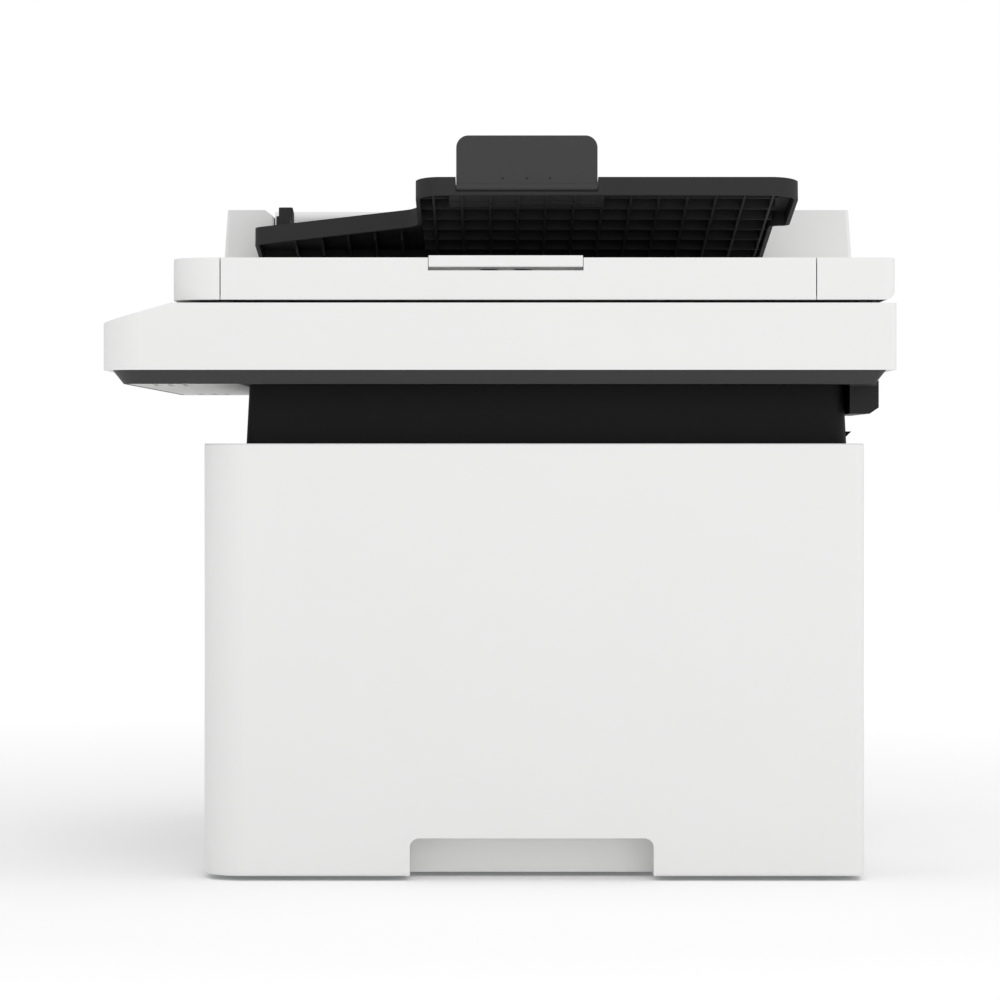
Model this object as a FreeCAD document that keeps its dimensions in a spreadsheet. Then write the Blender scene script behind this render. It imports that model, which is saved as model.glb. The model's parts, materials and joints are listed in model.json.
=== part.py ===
"""Desktop laser photocopier with a flatbed scanner and an automatic document feeder.

The machine stands on four rubber feet. X runs along its width (a person in front of it has +X on their
right), Y runs from front to back, Z is up, and the origin is on the floor under the middle of the machine.
All sizes are in millimetres and angles in degrees. Every driving dimension is a cell of the sheet "Sizes".
"""

import FreeCAD, Part
import math
import os
import re

import Sketcher

Vector = FreeCAD.Vector
doc = FreeCAD.newDocument("Photocopier")
sheet = doc.addObject("Spreadsheet::Sheet", "Sizes")

# --------------------------------------------------------------------------- driving dimensions
SIZES = {
    "Overall": [
        ("scan_width", 420, "width of the scanner, the widest piece"),
        ("scan_depth", 380, "depth from the control panel to the back of the scanner"),
        ("body_width", 410, "width over the side covers"),
        ("body_front", -142, "front face of the body"),
        ("body_back", 175, "back face of the body"),
        ("foot_height", 2, "rubber foot under the pan"),
        ("body_top", 209, "top of the body, where the neck starts"),
        ("scan_bottom", 237.6, "underside of the scanner"),
        ("scan_top", 276.2, "top of the scanner, where the glass is"),
        ("lid_bottom", 277.7, "underside of the closed lid"),
        ("lid_top", 297.8, "top of the lid"),
        ("feeder_top", 334.5, "top of the document feeder"),
    ],
    "Walls and clearances": [
        ("wall", 2.5, "plastic casing wall"),
        ("gap", 0.3, "clearance between pieces that fit together"),
        ("slack", 0.1, "radial clearance of a pin in its bore"),
        ("edge", 1, "small rounding on casing edges"),
    ],
    "Side covers": [
        ("corner_front", 20, "outer radius of the body's front corners"),
        ("corner_back", 5, "outer radius of the body's back corners"),
        ("wrap_front", 22, "how far a side cover wraps round the front"),
        ("wrap_back", 10, "how far a side cover wraps round the back"),
        ("flange_in", 22, "width of the side cover's top flange"),
        ("grip_front", -42.6, "front end of the carrying recess"),
        ("grip_back", 74.2, "back end of the carrying recess"),
        ("grip_high", 18.2, "height of the carrying recess above the cover's lower edge"),
        ("grip_deep", 24, "depth of the carrying recess"),
        ("grip_round", 4.6, "radius of the recess's upper corners"),
        ("liner", 2, "wall of the moulded pocket behind the recess"),
    ],
    "Frame": [
        ("pan_wall", 2, "thickness of the base pan"),
        ("frame_half", 130, "inner face of a side frame from the middle"),
        ("frame_wall", 1.5, "sheet steel of a side frame"),
        ("frame_front", -138, "front edge of the side frames"),
        ("frame_back", 171, "back edge of the side frames"),
        ("frame_top", 178, "top edge of the side frames"),
        ("foot_radius", 9, "radius of a rubber foot"),
        ("foot_x", 165, "feet from the middle"),
        ("foot_front", -112, "front feet"),
        ("foot_back", 145, "back feet"),
        ("lip_high", 12, "upright lip at the back of the pan"),
        ("inlet_x", 155, "middle of the mains inlet"),
        ("inlet_z", 42, "middle of the mains inlet"),
        ("inlet_half", 14.25, "half width of the inlet's housing"),
        ("inlet_rise", 11.5, "half height of the inlet's housing"),
        ("port_x", -158, "middle of the data sockets"),
        ("port_half", 8, "half width of the data sockets"),
        ("screw_x", 168, "rear screws from the middle"),
        ("screw_radius", 1.5, "shank of a casing screw"),
        ("screw_head", 3.4, "head radius of a casing screw"),
        ("screw_cap", 1.6, "head height of a casing screw"),
        ("screw_long", 7, "length of a casing screw under its head"),
    ],
    "Front door and cassette": [
        ("door_bottom", 55, "lower edge of the front door"),
        ("hinge_set", 10, "hinge axis behind a door's face and above its lower edge"),
        ("door_rim", 9, "depth of the stiffening rim inside a door"),
        ("pin_radius", 2, "radius of a moulded hinge pin"),
        ("ear_wall", 3, "thickness of a hinge ear"),
        ("pull_half", 35, "half width of the front door's finger pocket"),
        ("pull_high", 8, "height of the front door's finger pocket"),
        ("tub_top", 46, "top of the cassette's walls"),
        ("tub_wall", 2, "wall of the cassette"),
        ("slot_half", 45, "half width of the cassette's pull slot"),
        ("slot_low", 40, "lower edge of the cassette's pull slot"),
        ("slot_top", 51.5, "upper edge of the cassette's pull slot"),
        ("sheet_half", 108, "half the width of the widest sheet"),
        ("lift_hinge", -12, "hinge line of the lift plate"),
        ("rear_low", 62, "lower edge of the rear door"),
        ("rear_high", 196, "upper edge of the rear door"),
        ("rear_half", 121.5, "half width of the rear door"),
    ],
    "Paper path": [
        ("pickup_y", -106, "axis of the pickup roller"),
        ("pickup_z", 60, "axis of the pickup roller"),
        ("pickup_radius", 12, "pickup tyre"),
        ("drum_y", 0, "axis of the drum and of the transfer roller"),
        ("transfer_z", 72, "axis of the transfer roller"),
        ("transfer_radius", 7, "transfer roller"),
        ("drum_radius", 12, "photoconductor drum"),
        ("nip", 0.3, "paper gap between two rollers"),
        ("shaft", 4, "radius of the main roller shafts"),
        ("fuser_y", 128, "axis of the fuser's rollers"),
        ("fuser_radius", 10, "heat and pressure rollers"),
        ("fuser_half", 125, "half width of the fuser"),
        ("exit_y", 119, "axis of the exit roller"),
        ("exit_z", 217, "axis of the exit roller"),
        ("exit_radius", 7, "exit roller tyre"),
        ("exit_shaft", 3, "radius of the exit roller's shaft"),
        ("laser_low", 145, "underside of the laser unit"),
        ("laser_high", 174, "top of the laser unit"),
        ("laser_front", -50, "front of the laser unit"),
        ("laser_back", 90, "back of the laser unit"),
        ("laser_half", 112, "half width of the laser unit"),
        ("motor_y", 72, "axis of the main motor"),
        ("motor_z", 155, "axis of the main motor"),
        ("motor_radius", 16, "radius of the main motor"),
        ("board_low", 70, "lower edge of the main board"),
        ("board_high", 172, "upper edge of the main board"),
        ("power_x", 156, "middle of the power board"),
    ],
    "Output bin and neck": [
        ("neck_half", 181, "half width of the neck under the scanner"),
        ("neck_front", -122.2, "front of the neck"),
        ("neck_back", 169.2, "back of the neck"),
        ("neck_draft", 3, "draft angle of the neck"),
        ("bin_half", 126, "half width of the output bin"),
        ("bin_back", 108, "back wall of the output bin"),
        ("bin_low", 183, "bin floor at its back"),
        ("bin_fold", -60, "where the bin floor meets the deck"),
        ("stop_half", 35, "half width of the bin's paper stop"),
        ("stop_long", 24, "length of the bin's paper stop"),
        ("stop_y", -126, "hinge axis of the bin's paper stop"),
    ],
    "Scanner": [
        ("shell", 4, "wall of the scanner's upper frame"),
        ("skin", 2, "top plate of the scanner round the glass"),
        ("belt_low", 244.2, "lower edge of the white upper frame"),
        ("bevel_in", 5.3, "width of the tub's bevel"),
        ("scan_corner", 18, "front corner radius of the scanner"),
        ("scan_rear_corner", 3, "back corner radius of the scanner"),
        ("tub_floor", 3, "floor of the scanner tub"),
        ("panel_skin", 4.5, "upper frame's skin under the control panel"),
        ("under_half", 197, "half width of the plate under the control panel"),
        ("under_front", -178, "front of the plate under the control panel"),
        ("under_back", -125, "back of the plate under the control panel"),
        ("under_thick", 1.2, "thickness of the plate under the control panel"),
        ("panel_run", 33.5, "depth of the sloping control panel"),
        ("panel_tilt", 15.8, "slope of the control panel"),
        ("glass", 3, "thickness of the scanner glass"),
        ("glass_left", -146, "left edge of the platen window"),
        ("glass_right", 154, "right edge of the platen window"),
        ("glass_half", 109, "half depth of the platen window"),
        ("strip_x", -161, "middle of the feeder's scanning strip"),
        ("strip_half", 9, "half width of the scanning strip"),
        ("ledge", 5, "how far the glass runs under the top plate"),
        ("rod", 3, "radius of the carriage rod"),
        ("rod_z", 247, "height of the carriage rod"),
        ("carriage_half", 7, "half width of the scanning carriage"),
        ("duct_deep", 14, "depth of the cable duct behind the neck"),
        ("duct_low", 223.5, "lower end of the cable duct"),
        ("duct_left", 60, "left side of the cable duct"),
        ("duct_right", 176, "right side of the cable duct"),
    ],
    "Control panel": [
        ("bezel_half", 192, "half width of the panel bezel"),
        ("bezel_wide", 30.4, "bezel along the slope"),
        ("bezel", 2, "thickness of the bezel"),
        ("key", 9.5, "side of a key"),
        ("key_rise", 0.9, "key above the bezel"),
        ("key_flange", 0.8, "flange under a key"),
        ("disc_key", 5.5, "radius of the round keys"),
        ("screen_left", -60, "left end of the display"),
        ("screen_right", 22, "right end of the display"),
        ("screen_half", 9, "half height of the display"),
        ("screen", 1.2, "thickness of the display window"),
    ],
    "Lid": [
        ("lid_half", 209, "half width of the lid"),
        ("lid_front", -156.5, "front of the lid"),
        ("lid_back", 189.5, "back of the lid"),
        ("seam_front", -133, "joint of the front trim"),
        ("seam_back", 151.7, "joint of the rear trim"),
        ("seam", 0.5, "width of the joints in the lid"),
        ("lid_corner", 20, "front corner radius of the lid"),
        ("lid_rear_corner", 6, "back corner radius of the lid"),
        ("lid_roll", 5, "lid hinge axis from the back face and the underside"),
        ("hinge_x", 150, "middle of a lid hinge"),
        ("hinge_half", 10, "half width of a lid hinge"),
        ("barrel", 4.3, "radius of a lid hinge's barrel"),
        ("pad", 3, "thickness of the white pad"),
        ("stopper_front", -33.5, "front end of the output stopper"),
        ("stopper_back", 40.2, "back end of the output stopper"),
        ("stopper_long", 28, "length of the output stopper"),
        ("stopper_deep", 6.2, "depth of the stopper's recess at the edge"),
        ("stopper_thick", 2.4, "thickness of the output stopper"),
    ],
    "Document feeder": [
        ("feeder_left", -209, "left face of the feeder"),
        ("feeder_right", -45, "right face of the feeder"),
        ("feeder_front", -147.6, "front of the feeder at its base"),
        ("feeder_back", 189.5, "back of the feeder at its base"),
        ("feeder_draft", 2.6, "how far the feeder's ends lean in"),
        ("mouth_front", -121, "front side of the feeder's mouth"),
        ("mouth_back", 141, "back side of the feeder's mouth"),
        ("brow", 23, "radius of the feeder's upper left edge"),
        ("cover_roll", 6, "hinge axis of the feeder cover from its left face"),
        ("cover_low", 304.5, "lower edge of the feeder cover"),
        ("lip_low", 321, "lower edge of the cover over the tray"),
        ("chute_wall", 4.5, "side walls inside the feeder"),
        ("shelf_low", 305.5, "underside of the feeder's document shelf"),
        ("shelf_high", 311, "top of the feeder's document shelf"),
        ("turn_radius", 14, "roller that turns the sheet over the strip"),
        ("turn_z", 290.5, "axis of the turning roller"),
        ("pick_x", -90, "axis of the feeder's pick roller"),
        ("pick_radius", 8, "feeder's pick roller"),
        ("pick_shaft", 3, "radius of the feeder's shafts"),
    ],
    "Document tray": [
        ("tray_axis_x", -52, "hinge axis of the document tray"),
        ("tray_axis_z", 307.5, "hinge axis of the document tray"),
        ("tray_tilt", 7.7, "slope of the document tray"),
        ("tray_top", 5.2, "tray surface above its hinge axis"),
        ("tray_deep", 9, "depth of the tray's rim"),
        ("tray_skin", 2, "thickness of the tray"),
        ("tray_start", 16, "left end of the tray from its hinge"),
        ("tray_step", 70, "where the tray's front edge turns in"),
        ("tray_neck", 122, "where the raised end of the tray starts"),
        ("tray_end", 204, "right end of the tray from its hinge"),
        ("tray_front", -127, "front edge of the tray"),
        ("tray_mid", -41, "front edge of the tray's raised end"),
        ("tray_back", 147.7, "back edge of the tray's raised end"),
        ("tray_back_in", 139.5, "back edge of the tray beside the feeder"),
        ("rib", 1.2, "ribs under the tray"),
        ("rib_deep", 5, "depth of the ribs"),
        ("rib_step", 14, "spacing of the ribs"),
        ("flap_front", -20.9, "front edge of the tray's flap"),
        ("flap_back", 48.5, "back edge of the tray's flap"),
        ("flap_high", 25.5, "height of the flap above its axis"),
        ("flap_thick", 2.4, "thickness of the flap"),
        ("flap_axis", 201.5, "flap's axis from the tray's hinge"),
        ("flap_lift", 0.4, "flap's axis above the tray's hinge"),
        ("flap_round", 6, "corner radius of the flap"),
        ("guide_mid", 2, "centre line of the document guides"),
        ("guide_half", 111, "document guides, fully open, from that line"),
        ("guide_wall", 7.4, "thickness of a document guide"),
        ("guide_high", 16.8, "height of a document guide"),
    ],
}

CELLS = set()


def fill_sheet():
    """Writes every size into the sheet, one row each, with an alias and a note."""
    row = 1
    for section, entries in SIZES.items():
        sheet.set(f"A{row}", section)
        row += 1
        for alias, number, note in entries:
            sheet.set(f"A{row}", alias)
            sheet.set(f"B{row}", str(number))
            sheet.setAlias(f"B{row}", alias)
            sheet.set(f"C{row}", note)
            CELLS.add(alias)
            row += 1
    doc.recompute()


fill_sheet()


# --------------------------------------------------------------------------- small modelling kit
def formula(text):
    """A size formula with each alias turned into a reference to the sheet."""
    return re.sub(
        r"[A-Za-z_][A-Za-z_0-9]*",
        lambda word: "Sizes." + word[0] if word[0] in CELLS else word[0],
        str(text),
    )


def number(text):
    """The present value of a size formula."""
    found = sheet.evalExpression(formula(text))
    return float(getattr(found, "Value", found))


def bind(item, prop, text):
    """Binds a property to a size formula."""
    item.setExpression(prop, formula(text))


def rect(x, y, radii=None):
    """Corners of a rectangle over two spans, anticlockwise from the low corner, with any corner radii."""
    corners = [(x[0], y[0]), (x[1], y[0]), (x[1], y[1]), (x[0], y[1])]
    if radii is None:
        return corners
    if not isinstance(radii, (list, tuple)):
        radii = [radii] * 4
    return [c + ((r,) if r else ()) for c, r in zip(corners, radii)]


class Disc:
    """A circle in a sketch."""

    def __init__(self, x, y, radius):
        self.x, self.y, self.radius = x, y, radius


def place_point(sketch, geo, pos, x, y):
    """Fixes a sketch point at two bound distances from the sketch's origin."""
    for kind, text in (("DistanceX", x), ("DistanceY", y)):
        k = sketch.addConstraint(Sketcher.Constraint(kind, -1, 1, geo, pos, number(text)))
        bind(sketch, f"Constraints[{k}]", text)


def draw_disc(sketch, disc):
    """Draws a circle with its centre and radius bound to the sheet."""
    centre = Vector(number(disc.x), number(disc.y), 0)
    geo = sketch.addGeometry(Part.Circle(centre, Vector(0, 0, 1), number(disc.radius)), False)
    place_point(sketch, geo, 3, disc.x, disc.y)
    k = sketch.addConstraint(Sketcher.Constraint("Radius", geo, number(disc.radius)))
    bind(sketch, f"Constraints[{k}]", disc.radius)


def corner_arc(before, here, after, radius):
    """Tangent points, centre and turn of an arc that rounds a corner."""
    into = (here - before).normalize()
    out = (after - here).normalize()
    turn = into.x * out.y - into.y * out.x
    half = math.acos(max(-1.0, min(1.0, into.dot(out)))) / 2
    cut = radius * math.tan(half)
    side = Vector(-into.y, into.x, 0) * (1 if turn > 0 else -1)
    start, end = here - into * cut, here + out * cut
    return start, end, start + side * radius, turn > 0


def draw_outline(sketch, corners):
    """Draws a closed outline. A corner is (x, y) or (x, y, radius), each a size formula."""
    points = [Vector(number(c[0]), number(c[1]), 0) for c in corners]
    count = len(corners)
    entries, exits, arcs = list(points), list(points), {}
    for i, corner in enumerate(corners):
        if len(corner) == 3:
            start, end, centre, left = corner_arc(
                points[i - 1], points[i], points[(i + 1) % count], number(corner[2])
            )
            entries[i], exits[i], arcs[i] = start, end, (centre, left)
    lines = [
        sketch.addGeometry(Part.LineSegment(exits[i], entries[(i + 1) % count]), False)
        for i in range(count)
    ]
    for i, corner in enumerate(corners):
        before, after = lines[i - 1], lines[i]
        if i not in arcs:
            sketch.addConstraint(Sketcher.Constraint("Coincident", before, 2, after, 1))
            place_point(sketch, after, 1, corner[0], corner[1])
            continue
        centre, left = arcs[i]
        low, high = (entries[i], exits[i]) if left else (exits[i], entries[i])
        angles = [math.atan2(p.y - centre.y, p.x - centre.x) for p in (low, high)]
        if angles[1] < angles[0]:
            angles[1] += 2 * math.pi
        circle = Part.Circle(centre, Vector(0, 0, 1), number(corner[2]))
        arc = sketch.addGeometry(Part.ArcOfCircle(circle, *angles), False)
        first, last = (1, 2) if left else (2, 1)
        sketch.addConstraint(Sketcher.Constraint("Tangent", before, 2, arc, first))
        sketch.addConstraint(Sketcher.Constraint("Tangent", arc, last, after, 1))
        k = sketch.addConstraint(Sketcher.Constraint("Radius", arc, number(corner[2])))
        bind(sketch, f"Constraints[{k}]", corner[2])
        mark = sketch.addGeometry(Part.Point(points[i]), True)
        place_point(sketch, mark, 1, corner[0], corner[1])
        sketch.addConstraint(Sketcher.Constraint("PointOnObject", mark, 1, before))
        sketch.addConstraint(Sketcher.Constraint("PointOnObject", mark, 1, after))


class Casing:
    """A PartDesign body that grows feature by feature. A span is (low, high) along the plane's normal."""

    def __init__(self, label):
        self.body = doc.addObject("PartDesign::Body", label)
        self.body.Label = label
        self.label = label

    def plane(self, name):
        """One of the body's own origin planes."""
        return next(f for f in self.body.Origin.OriginFeatures if f.Role == f"{name}_Plane")

    def sketch(self, plane, shapes, level):
        """A sketch on one of the body's origin planes, moved along the plane's normal."""
        drawn = self.body.newObject("Sketcher::SketchObject", f"{self.label}_sketch")
        drawn.AttachmentSupport = [(self.plane(plane), "")]
        drawn.MapMode = "FlatFace"
        bind(drawn, "AttachmentOffset.Base.z", level)
        for shape in shapes:
            if isinstance(shape, Disc):
                draw_disc(drawn, shape)
            else:
                draw_outline(drawn, shape)
        return drawn

    def volume(self):
        """Volume of the body so far."""
        shape = self.body.Shape
        return 0.0 if shape.isNull() else shape.Volume

    def feature(self, kind, plane, shapes, span):
        """A pad or pocket between the two ends of a span, whichever way the plane's normal points."""
        shapes = shapes if isinstance(shapes, list) and not isinstance(shapes[0], tuple) else [shapes]
        level = f"-({span[1]})" if plane == "XZ" else span[0]
        made = self.body.newObject(f"PartDesign::{kind}", f"{self.label}_{kind}")
        made.Profile = self.sketch(plane, shapes, level)
        bind(made, "Length", f"({span[1]}) - ({span[0]})")
        made.Reversed = kind == "Pocket"
        self.body.Tip = made
        return made

    def add(self, plane, shapes, span, taper=None):
        """Adds a prism over the span, drawn in by a draft angle where one is given."""
        made = self.feature("Pad", plane, shapes, span)
        if taper is not None:
            bind(made, "TaperAngle", f"-({taper})")
        doc.recompute()
        return made

    def cut(self, plane, shapes, span):
        """Cuts a prism over the span, and stops if it removes nothing."""
        before = self.volume()
        made = self.feature("Pocket", plane, shapes, span)
        doc.recompute()
        if not self.volume() < before - 1e-6:
            raise ValueError(f"a cut in {self.label} removed nothing")
        return made

    def repeat(self, feature, axis, length, count):
        """Repeats a feature in a row along one of the body's origin axes."""
        row = self.body.newObject("PartDesign::LinearPattern", f"{self.label}_row")
        row.Originals = [feature]
        row.Direction = (
            next(f for f in self.body.Origin.OriginFeatures if f.Role == f"{axis}_Axis"),
            [""],
        )
        bind(row, "Length", length)
        row.Occurrences = count
        self.body.Tip = row
        doc.recompute()
        return row

    def round(self, radius, wanted):
        """Rounds the edges that the test wanted(edge) picks."""
        base = self.body.Tip
        names = [f"Edge{i + 1}" for i, e in enumerate(base.Shape.Edges) if wanted(e)]
        if not names:
            raise ValueError(f"no edge to round in {self.label}")
        made = self.body.newObject("PartDesign::Fillet", f"{self.label}_fillet")
        made.Base = (base, names)
        bind(made, "Radius", radius)
        self.body.Tip = made
        doc.recompute()
        return made

    def put(self, x=0, y=0, z=0, axis=None, angle=None):
        """Places the finished body, turned about an axis by a bound angle where one is given."""
        if axis is not None:
            self.body.Placement = FreeCAD.Placement(
                Vector(), FreeCAD.Rotation(Vector(*axis), number(angle))
            )
            bind(self.body, "Placement.Rotation.Angle", angle)
        for name, text in (("x", x), ("y", y), ("z", z)):
            bind(self.body, f"Placement.Base.{name}", text)
        return self.body


def lies(edge, **where):
    """True if every point of an edge has the coordinates that are given, as in x=0 or z="lid_top"."""
    ends = [v.Point for v in edge.Vertexes] + [edge.CenterOfMass]
    return all(abs(getattr(p, axis) - number(text)) < 0.02 for axis, text in where.items() for p in ends)


FINISHED = []


def keep(label, item):
    """Notes a finished sub-part under the name of its node."""
    item.Label = label
    FINISHED.append((label, item))
    return item


def box(name, x, y, z):
    """A Part box over three spans."""
    made = doc.addObject("Part::Box", name)
    for prop, axis, span in (("Length", "x", x), ("Width", "y", y), ("Height", "z", z)):
        bind(made, prop, f"({span[1]}) - ({span[0]})")
        bind(made, f"Placement.Base.{axis}", span[0])
    return made


TURNS = {
    "X": FreeCAD.Rotation(Vector(0, 1, 0), 90),
    "Y": FreeCAD.Rotation(Vector(1, 0, 0), -90),
    "Z": FreeCAD.Rotation(),
}


def rod(name, axis, span, centre, radius):
    """A Part cylinder along a row axis. The centre gives its other two coordinates in X, Y, Z order."""
    made = doc.addObject("Part::Cylinder", name)
    made.Placement = FreeCAD.Placement(Vector(), TURNS[axis])
    bind(made, "Radius", radius)
    bind(made, "Height", f"({span[1]}) - ({span[0]})")
    others = [a for a in "XYZ" if a != axis]
    bind(made, f"Placement.Base.{axis.lower()}", span[0])
    for other, text in zip(others, centre):
        bind(made, f"Placement.Base.{other.lower()}", text)
    return made


def fuse(name, pieces):
    """One solid from several."""
    made = doc.addObject("Part::MultiFuse", name)
    made.Shapes = pieces
    made.Refine = True
    return made


def cut(name, base, tools):
    """A solid with others taken out of it."""
    made = doc.addObject("Part::Cut", name)
    made.Base = base
    made.Tool = tools[0] if len(tools) == 1 else fuse(f"{name}_tools", tools)
    made.Refine = True
    return made


def group(name, pieces):
    """Several separate solids in one node."""
    made = doc.addObject("Part::Compound", name)
    made.Links = pieces
    return made


def mirrored(name, source):
    """The mirror image of a piece across the machine's middle plane."""
    made = doc.addObject("Part::Mirroring", name)
    made.Source = source
    made.Normal = Vector(1, 0, 0)
    return made


def sides(low, high):
    """A span and its mirror image about zero."""
    return [(low, high), (f"-({high})", f"-({low})")]


def shrunk(span, inset):
    """A span drawn in at both ends."""
    return f"{span[0]} + {inset}", f"{span[1]} - {inset}"


# --------------------------------------------------------------------------- formulas used by several pieces
PAN_TOP = "foot_height + pan_wall"
DECK_LOW = "body_top - wall"
DOOR_TOP = "body_top - wall - 2*gap"
DOOR_AXIS = ("body_front + hinge_set", "door_bottom + hinge_set")
REAR_AXIS = ("body_back - hinge_set", "rear_low + hinge_set")
DRUM_Z = "transfer_z + transfer_radius + nip + drum_radius"
NIP_Z = "transfer_z + transfer_radius + nip/2"
HEAT_Z = "transfer_z + transfer_radius + nip + fuser_radius"
PRESS_Z = "transfer_z + transfer_radius - fuser_radius"
SCAN_FRONT = "-scan_depth/2"
SCAN_BACK = "scan_depth/2"
PLATE_LOW = "scan_top - skin"
PANEL_TOP_Y = "-scan_depth/2 + panel_run"
PANEL_FRONT_Z = "scan_top - panel_run*tan(panel_tilt)"
PANEL_LONG = "panel_run/cos(panel_tilt)"
LID_AXIS = ("lid_back - lid_roll", "lid_bottom + lid_roll")
COVER_AXIS = ("feeder_left + cover_roll", "cover_low + cover_roll")
BEZEL_FROM = "(panel_run/cos(panel_tilt) - bezel_wide)/2"
STOP_Z = "body_top - 2.7"
STOPPER_AXIS = ("lid_half - stopper_long + 2", "lid_top - stopper_thick/2")
PORTS = [(66, 79), (88, 103), (112, 125)]


def slope(along, above):
    """A point of the control panel's slope, from its front edge, in the Y-Z plane."""
    y = f"-scan_depth/2 + ({along})*cos(panel_tilt) - ({above})*sin(panel_tilt)"
    z = f"{PANEL_FRONT_Z} + ({along})*sin(panel_tilt) + ({above})*cos(panel_tilt)"
    return y, z


# --------------------------------------------------------------------------- base and frame
def base_pan():
    """Floor pan of the machine, notched round the carrying recesses, with an upright lip at the back."""
    half = "body_width/2 - wall - gap"
    notch = "body_width/2 - grip_deep - liner - gap"
    front, back = "body_front + wall + gap", "body_back - wall - gap"
    low, high = "grip_front - liner - gap", "grip_back + liner + gap"
    corner = "corner_front - wall - gap"
    pan = Casing("base_pan")
    outline = [
        (f"-({half})", front, corner),
        (half, front, corner),
        (half, low),
        (notch, low),
        (notch, high),
        (half, high),
        (half, back, "corner_back - wall - gap"),
        (f"-({half})", back, "corner_back - wall - gap"),
        (f"-({half})", high),
        (f"-({notch})", high),
        (f"-({notch})", low),
        (f"-({half})", low),
    ]
    pan.add("XY", outline, ("foot_height", PAN_TOP))
    lips = [rect(x, (f"{back} - wall", back)) for x in sides("frame_half + 8", "body_width/2 - 3*wall")]
    pan.add("XY", lips, (PAN_TOP, f"{PAN_TOP} + lip_high"))
    holes = [Disc(x, f"{PAN_TOP} + lip_high/2", "screw_radius + slack") for x in ("screw_x", "-screw_x")]
    pan.cut("XZ", holes, (f"{back} - 2*wall", f"{back} + wall"))
    keep("base_pan", pan.body)


def rubber_feet():
    """Four feet under the pan."""
    feet = [
        rod(f"foot_{i}", "Z", (0, "foot_height"), (x, y), "foot_radius")
        for i, (x, y) in enumerate(
            [(x, y) for x in ("-foot_x", "foot_x") for y in ("foot_front", "foot_back")]
        )
    ]
    keep("rubber_feet", group("rubber_feet", feet))


def side_frames():
    """Two sheet-steel side frames that carry the shafts and the doors' pins."""
    plate = Casing("side_frame")
    plate.add(
        "YZ",
        rect(("frame_front", "frame_back"), (PAN_TOP, "frame_top"), 3),
        ("frame_half", "frame_half + frame_wall"),
    )
    notch = rect(
        ("frame_front - 1", f"{DOOR_AXIS[0]} + hinge_set + 2*gap + 0.5"),
        (f"{DOOR_AXIS[1]} - hinge_set - 2*gap - 0.5", f"{DOOR_AXIS[1]} + 1"),
    )
    plate.cut("YZ", notch, ("frame_half - wall", "frame_half + 2*wall"))
    plate.add("YZ", Disc(*DOOR_AXIS, "hinge_set - wall - 3*gap"), ("frame_half", "frame_half + frame_wall"))
    bores = [
        Disc(*DOOR_AXIS, "pin_radius + slack"),
        Disc(*REAR_AXIS, "pin_radius + slack"),
        Disc("pickup_y", "pickup_z", "shaft + slack"),
        Disc("drum_y", "transfer_z", "shaft + slack"),
    ]
    plate.cut("YZ", bores, ("frame_half - wall", "frame_half + 2*wall"))
    windows = [
        rect((-80, -44), (152, 168), 6),
        rect((44, 80), (20, 50), 6),
        rect((34, 70), (112, 132), 6),
    ]
    plate.cut("YZ", windows, ("frame_half - wall", "frame_half + 2*wall"))
    keep("side_frames", group("side_frames", [plate.body, mirrored("side_frame_left", plate.body)]))


def side_cover():
    """Right side cover with its carrying recess, and its mirror image on the left."""
    cover = Casing("right_side_cover")
    outer, front, back = "body_width/2", "body_front", "body_back"
    outline = [
        (f"{outer} - wrap_front", front),
        (outer, front, "corner_front"),
        (outer, back, "corner_back"),
        (f"{outer} - wrap_back", back),
        (f"{outer} - wrap_back", f"{back} - wall"),
        (f"{outer} - wall", f"{back} - wall", "corner_back - wall"),
        (f"{outer} - wall", f"{front} + wall", "corner_front - wall"),
        (f"{outer} - wrap_front", f"{front} + wall"),
    ]
    cover.add("XY", outline, ("foot_height", "body_top"))
    flange = [
        (f"{outer} - flange_in", f"{front} + wall"),
        (f"{outer} - wall/2", f"{front} + wall", "corner_front - wall"),
        (f"{outer} - wall/2", f"{back} - wall", "corner_back - wall"),
        (f"{outer} - flange_in", f"{back} - wall"),
    ]
    cover.add("XY", flange, (DECK_LOW, "body_top"))
    cover.round("edge", lambda e: lies(e, z="body_top") and outside_of(e, "wall/2"))
    cover.round("2*edge", lambda e: lies(e, z="foot_height") and outside_of(e, "wall/2"))
    top = "foot_height + grip_high"
    cover.add(
        "XY",
        rect(
            (f"{outer} - grip_deep - liner", f"{outer} - wall/2"),
            ("grip_front - liner", "grip_back + liner"),
        ),
        ("foot_height", f"{top} + liner"),
    )
    round_top = [0, 0, "grip_round", "grip_round"]
    cover.cut(
        "YZ",
        rect(("grip_front", "grip_back"), ("foot_height - 1", top), round_top),
        (f"{outer} - grip_deep", f"{outer} + 1"),
    )
    keep("right_side_cover", cover.body)
    keep("left_side_cover", mirrored("left_side_cover", cover.body))


def outside_of(edge, depth):
    """True if an edge of a side cover lies on the body's outer skin."""
    outer, front, back = number("body_width/2"), number("body_front"), number("body_back")
    point, limit = edge.CenterOfMass, number(depth)
    corner = number("corner_front") * 0.35
    near = min(outer - point.x, point.y - front, back - point.y)
    if near < limit:
        return True
    return outer - point.x < corner + limit and point.y - front < corner + limit


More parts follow.
